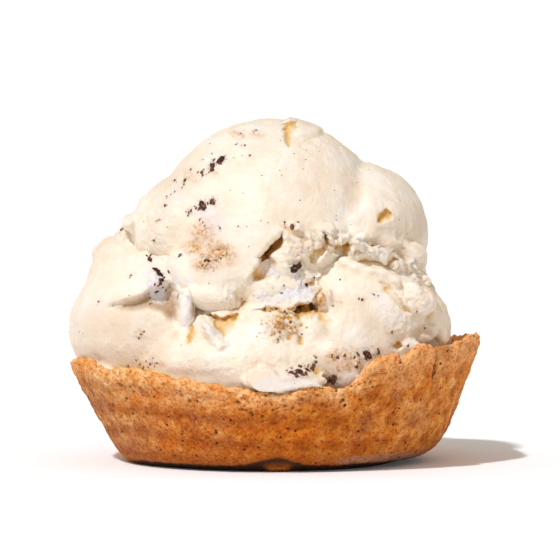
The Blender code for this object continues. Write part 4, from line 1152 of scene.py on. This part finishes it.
# The node each piece stands for, its finish, and its shards: across, up, half-length, half-width, half-
# thickness, how far it stands out, and its turn
COOKIE_PIECES = (
    ("cookie_piece_1", "cookie_left_shards", dark, (
        (-31.2, 50.1, 1.3, 0.75, 0.6, 0.1, -50), (-31.9, 51.0, 0.9, 0.22, 0.3, 0.1, -45),
        (-30.9, 51.1, 0.7, 0.2, 0.3, 0.1, 80), (-29.5, 47.4, 1.3, 0.7, 0.6, 0.1, -50),
        (-28.8, 46.4, 1.1, 0.7, 0.5, 0.1, -40), (-28.1, 45.1, 0.7, 0.6, 0.4, 0.0, -10),
        (-28.6, 44.1, 0.6, 0.5, 0.4, 0.0, 80), (-29.4, 42.0, 1.0, 0.4, 0.3, -0.05, 35),
        (-26.4, 47.1, 1.2, 0.25, 0.3, 0.0, -35), (-27.6, 45.6, 0.5, 0.4, 0.4, 0.0, 10))),
    ("cookie_piece_2", "cookie_pocket_crumb", pale, (
        (9.1, 44.6, 1.3, 0.9, 0.8, 0.1, 40), (11.9, 40.1, 2.6, 1.3, 1.0, 0.15, 80),
        (8.4, 36.9, 1.2, 0.7, 0.8, -0.9, 20),)),
    ("cookie_piece_3", "cookie_pale_patch", pale, (
        (1.6, 34.4, 2.6, 1.6, 1.0, -0.55, -20), (3.9, 32.4, 1.6, 1.2, 0.9, -0.5, 30))),
    ("cookie_piece_4", "cookie_rim_crumb", pale, (
        (15.1, 25.6, 1.2, 1.0, 0.8, -0.1, 10), (18.1, 23.4, 1.0, 0.9, 0.8, -0.2, 50),
        (18.6, 26.1, 0.8, 0.7, 0.6, 0.0, 0), (20.4, 24.4, 1.2, 0.9, 0.7, -0.2, 30))),
    ("cookie_piece_5", "cookie_pale_crumbs_top", pale, (
        (-14.1, 51.4, 1.6, 1.2, 0.8, -0.35, 20), (-12.4, 51.6, 1.0, 0.8, 0.7, -0.1, 70),
        (-18.4, 57.1, 1.2, 0.9, 0.6, -0.2, 0), (-17.1, 49.4, 1.3, 1.0, 0.8, -0.3, 90),
        (-19.9, 52.6, 1.0, 0.7, 0.6, -0.2, 0))),
    ("cookie_piece_6", "cookie_middle_shard", dark, (
        (5.4, 48.1, 2.4, 1.1, 0.9, 0.0, 28), (7.9, 43.8, 0.5, 0.45, 0.4, 0.1, 40),
        (9.9, 45.6, 0.4, 0.3, 0.3, 0.1, 40))),
)
broken = []
for node, name, finish, shards in COOKIE_PIECES:
    shape = bmesh.new()
    for number, (across, up, long, wide, thick, out, turn) in enumerate(shards):
        place, facing = seen_first(across, up)
        add_shard(shape, place + facing * out, facing, (long, wide, thick), turn, number + 7 * len(name))
    broken.append((node, name, finish, shape))
for node, name, skin in (("cookie_piece_7", "cookie_back_shard", bottom_skin),
                         ("cookie_piece_8", "cookie_back_shard_top", top_skin)):
    low, high = (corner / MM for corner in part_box(node))
    middle = (low + high) / 2
    out = Vector((middle.x, middle.y, 0)).normalized()
    place, facing, _, _ = skin.ray_cast(middle + out * 30, -out)
    shape = bmesh.new()
    add_shard(shape, place + facing * 0.1, facing, (4.2, 2.4, 1.8), 25, len(name), 4)
    chip = place + facing * 0.2 + Vector((1.5, 0, 3.0))
    add_shard(shape, chip, facing, (1.6, 1.2, 1.0), 70, len(name) + 3, 3)
    broken.append((node, name, dark, shape))
for node, name, finish, shape in broken:
    piece = object_of(shape, name)
    piece.data.materials.append(finish)
    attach(piece, "root")
    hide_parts(node)

# ----------------------------------------
# The crumbs and the vanilla specks
# Broken-off cookie crumbs of 0.5 to 3 mm lie half sunk in both scoops, in trails where a cookie was dragged,
# with vanilla seeds a third of a millimetre across between them.

FRONT_CRUMBS = (  # on the top scoop: across, up, half-length, turn
    (-13.4, 75.1, 1.2, 0), (-13.9, 74.4, 0.9, 40), (-15.4, 73.6, 0.9, 70), (-15.6, 72.6, 0.8, 60),
    (-15.1, 74.9, 0.5, 0), (-16.4, 71.9, 0.35, 0), (-18.1, 71.9, 0.6, 20), (-17.9, 71.1, 0.5, 50),
    (-19.1, 71.9, 0.35, 0), (-17.6, 72.6, 0.3, 0), (-22.4, 69.9, 0.7, 80), (-22.6, 68.9, 0.4, 80),
    (-24.9, 69.9, 0.5, 80), (-20.9, 72.6, 0.45, 70), (-17.9, 75.1, 0.35, 0), (-23.1, 68.1, 0.3, 0),
    (-24.9, 67.1, 0.3, 0), (-26.9, 65.9, 0.3, 0), (-27.4, 63.6, 0.4, 0), (-25.9, 66.4, 0.25, 0),
    (-18.1, 63.9, 1.1, 40), (-17.6, 63.1, 0.9, 10), (-18.6, 62.9, 0.6, 0), (-15.6, 64.6, 0.8, -20),
    (-15.1, 64.1, 0.6, -20), (-16.6, 64.1, 0.35, 0), (-19.6, 62.9, 0.45, 0), (-19.9, 63.4, 0.3, 0),
    (-20.9, 62.4, 0.5, 40), (-21.4, 61.9, 0.5, 40), (-21.6, 61.1, 0.35, 0), (-22.1, 62.1, 0.3, 0),
    (-18.6, 60.1, 0.4, 0), (-17.9, 59.4, 0.35, 0), (-17.4, 58.6, 0.3, 0), (-23.6, 51.1, 0.6, 20),
    (-30.1, 54.9, 0.5, 70), (-29.1, 59.9, 0.3, 0), (-29.6, 59.6, 0.25, 0), (-28.6, 60.1, 0.3, 0),
    (-16.9, 49.9, 0.8, 60), (-17.4, 48.6, 0.6, 60), (-12.6, 51.4, 0.5, 0), (-13.4, 50.4, 0.35, 0),
    (-14.6, 49.9, 0.3, 0), (-13.6, 57.9, 0.35, 0), (-9.1, 58.4, 0.25, 0), (-8.4, 81.6, 0.35, 0),
    (-4.6, 82.4, 0.45, 10), (-5.1, 82.1, 0.3, 0), (-7.4, 78.6, 0.4, 0), (-6.1, 76.1, 0.4, 0),
    (-9.6, 78.9, 0.3, 0), (-15.6, 76.6, 0.4, 0), (-16.1, 79.1, 0.25, 0), (4.4, 58.4, 0.65, 30),
    (5.9, 59.4, 0.5, -50), (2.6, 59.4, 0.35, 0), (1.9, 54.9, 0.25, 0),
)
FRONT_CRUMBS_BELOW = (  # on the bottom scoop
    (-38.1, 57.6, 0.7, 0), (-35.9, 46.1, 0.4, 60), (-36.1, 45.6, 0.3, 0), (-43.9, 39.6, 0.35, 30),
    (-31.1, 38.9, 0.35, 0), (-31.4, 41.6, 0.3, 0), (-31.1, 40.6, 0.25, 0), (-28.6, 44.9, 0.6, 0),
    (-28.9, 43.6, 0.5, 0), (-29.9, 43.9, 0.35, 0), (-27.9, 43.1, 0.35, 0), (-27.1, 42.4, 0.3, 0),
    (-8.4, 40.4, 0.6, 30), (-7.1, 39.6, 0.3, 0), (1.9, 41.6, 0.4, 80), (8.1, 43.9, 0.5, 0),
    (2.4, 43.6, 0.3, 0), (-33.4, 31.4, 0.35, 60), (-33.9, 30.4, 0.3, 0), (-32.6, 32.1, 0.3, 0),
    (-1.1, 37.1, 0.4, 40), (0.4, 37.9, 0.45, 60), (2.6, 37.1, 0.4, 0), (3.1, 36.6, 0.45, 0),
    (-2.4, 37.9, 0.4, 10), (0.9, 30.1, 0.35, 0), (3.9, 33.1, 0.35, 0), (6.9, 31.4, 0.3, 0),
    (3.9, 21.9, 0.8, 10), (4.9, 21.6, 1.0, 40), (6.1, 22.1, 1.0, 70), (5.6, 20.9, 0.7, 0),
    (7.1, 21.4, 0.8, 20), (8.4, 22.4, 0.9, 40), (7.9, 21.6, 0.7, 0), (6.4, 23.4, 0.5, 70),
    (4.4, 22.9, 0.4, 0), (3.1, 22.4, 0.4, 0), (9.6, 22.6, 0.7, 60), (9.9, 23.6, 0.6, 60),
    (10.4, 24.6, 0.5, 70), (10.4, 25.6, 0.4, 70), (8.4, 23.4, 0.3, 0), (14.4, 19.9, 1.4, 0),
    (13.4, 20.1, 0.8, 0), (15.1, 20.4, 0.9, 20), (23.1, 26.4, 1.0, 50), (23.9, 25.9, 0.7, 0),
    (22.9, 25.4, 0.6, 0), (26.1, 26.9, 0.6, 0), (25.9, 27.6, 0.4, 0), (20.9, 26.4, 0.6, 0),
    (20.1, 25.6, 0.5, 0), (21.1, 24.4, 0.6, 70), (20.6, 23.4, 0.6, 70), (17.6, 26.1, 0.4, 0),
    (14.6, 25.9, 0.5, 0), (15.9, 25.6, 0.5, 60), (18.4, 23.4, 0.5, 0), (16.1, 22.4, 0.3, 0),
    (14.6, 38.6, 0.35, 60), (21.9, 40.1, 0.4, 0), (21.1, 40.4, 0.3, 0), (24.9, 41.4, 0.35, 0),
    (25.9, 41.1, 0.25, 0), (16.4, 45.1, 0.3, 0), (29.4, 31.9, 0.4, 0), (33.4, 28.6, 0.35, 0),
    (35.6, 37.1, 0.3, 0), (37.6, 32.9, 0.3, 0), (-34.6, 24.9, 0.3, 0), (-33.6, 23.9, 0.35, 0),
    (-32.1, 24.6, 0.3, 0), (-31.1, 23.9, 0.4, 50), (-30.1, 23.4, 0.3, 0), (-31.6, 23.1, 0.3, 0),
    (-29.4, 24.1, 0.3, 0), (-36.6, 23.4, 0.35, 0), (-30.4, 25.4, 0.25, 0), (-32.9, 22.9, 0.4, 0),
)
SPECKS = (
    (-9.4, 78.9), (-8.1, 76.1), (-6.9, 58.4), (-6.4, 53.4), (-5.1, 47.9), (-3.4, 59.9), (8.1, 77.4),
    (4.9, 76.6), (8.9, 80.4), (11.1, 77.1), (20.6, 69.4), (23.6, 72.6), (33.1, 56.6), (19.1, 58.9),
    (15.4, 61.1), (30.4, 46.4), (21.9, 49.6), (-1.6, 59.4), (-11.1, 67.4), (-3.1, 71.1), (15.1, 67.4),
    (6.4, 64.9), (1.4, 72.4), (31.4, 64.9),
)
DUST_REACH = 0.7
BACK_TRAILS = 7  # trails of crumbs round the back of each scoop
BACK_SPECKS = 70

draw = np.random.default_rng(77)


def from_side(skin, turn, up):
    """The skin's point and facing, from outside at that azimuth and height."""
    out = Vector((math.sin(turn), -math.cos(turn), 0))
    place, facing, _, _ = skin.ray_cast(out * 90 + Vector((0, 0, up)), -out)
    return place, facing


for name, scoop, skin, crumbs, low, high in (
        ("cookie_crumbs_top", top, top_skin, FRONT_CRUMBS, 46, 82),
        ("cookie_crumbs_bottom", bottom, bottom_skin, FRONT_CRUMBS_BELOW, 30, 46)):
    shape = bmesh.new()
    number = 0
    lying = []
    reddish = []  # the smallest grains are the cookie's browner inside
    for across, up, size, turn in crumbs:
        place, facing = seen(skin, across, up)
        if place is None:
            continue
        number += 1
        lying.append((place, size))
        size *= 1.2
        add_shard(shape, place - facing * 0.25 * size, facing, (size, size * 0.75, size * 0.7), turn + 90,
                  number, 3 if size > 0.7 else 2, 0.6, 0.22)
        reddish += [float(np.interp(size, (0.4, 1.3), (0.75, 0.0)))] * (len(shape.verts) - len(reddish))
        spread = 0.55 * size + 0.1
        for grain in range(int(size * 3)):
            near, facing = seen(skin, across + draw.normal(0, spread), up + draw.normal(0, spread))
            if near is not None and (near - place).length < 4 * size:
                grit = draw.uniform(0.10, 0.26)
                add_shard(shape, near - facing * 0.3 * grit, facing, (grit * 1.3, grit, grit),
                          draw.uniform(0, 180), 500 + number * 9 + grain, 1)
                reddish += [1.0] * (len(shape.verts) - len(reddish))
    for _ in range(BACK_TRAILS):
        turn, up = math.radians(draw.uniform(105, 250)), draw.uniform(low, high)
        climb, swing = draw.normal(0, 1.0), draw.normal(0, 0.03)
        for _ in range(int(draw.integers(5, 13))):
            turn += swing + draw.normal(0, 0.015)
            up = min(max(up + climb + draw.normal(0, 0.6), low), high)
            size = float(np.clip(abs(draw.normal(0, 0.7)) + 0.25, 0.25, 1.7))
            place, facing = from_side(skin, turn, up)
            if place is None or facing.z < -0.4:
                continue
            number += 1
            lying.append((place, size))
            add_shard(shape, place - facing * 0.15 * size, facing, (size, size * 0.72, size * 0.6),
                      draw.uniform(0, 180), number, 3 if size > 0.7 else 2)
    reddish += [0.0] * (len(shape.verts) - len(reddish))
    piece = object_of(shape, name)
    keep_map(piece, "grit", np.array(reddish))
    piece.data.materials.append(dark)
    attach(piece, "root")
    points = points_of(scoop)
    dust = np.zeros(len(points))
    for place, size in lying:
        close = np.nonzero(np.abs(points[:, 2] - place.z) < size + 3 * DUST_REACH)[0]
        away = np.linalg.norm(points[close] - np.array(place), axis=1)
        dust[close] = np.maximum(dust[close], np.exp(-np.maximum(away - size, 0) / DUST_REACH) * min(1, size))
    keep_map(scoop, "dust", dust)

# Vanilla seed: a tiny dark brown grain
seed_finish, tree = finish_of("vanilla seed")
grains = add(tree, "TexNoise", {"Vector": add(tree, "TexCoord").outputs["Object"], "Scale": 4000.0})
tone = add(tree, "ValToRGB", {"Fac": grains}, stops=((0.3, "#3A2A22"), (0.7, "#6E5646")))
surface = add(tree, "BsdfPrincipled", {"Base Color": tone, "Roughness": 0.5})
add(tree, "OutputMaterial", {"Surface": surface})
shape = bmesh.new()
for across, up in SPECKS:
    place, facing = seen(top_skin, across, up)
    if place is not None:
        add_shard(shape, place, facing, (0.26, 0.2, 0.12), draw.uniform(0, 180),
                  int(draw.integers(1, 999)), 1)
for number in range(BACK_SPECKS):
    skin, low, high = ((top_skin, 44, 84), (bottom_skin, 29, 48))[number % 2]
    place, facing = from_side(skin, draw.uniform(-math.pi, math.pi), draw.uniform(low, high))
    if place is not None:
        add_shard(shape, place, facing, (0.24, 0.2, 0.12), draw.uniform(0, 180),
                  int(draw.integers(1, 999)), 1)
specks = object_of(shape, "vanilla_specks")
specks.data.materials.append(seed_finish)
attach(specks, "root")
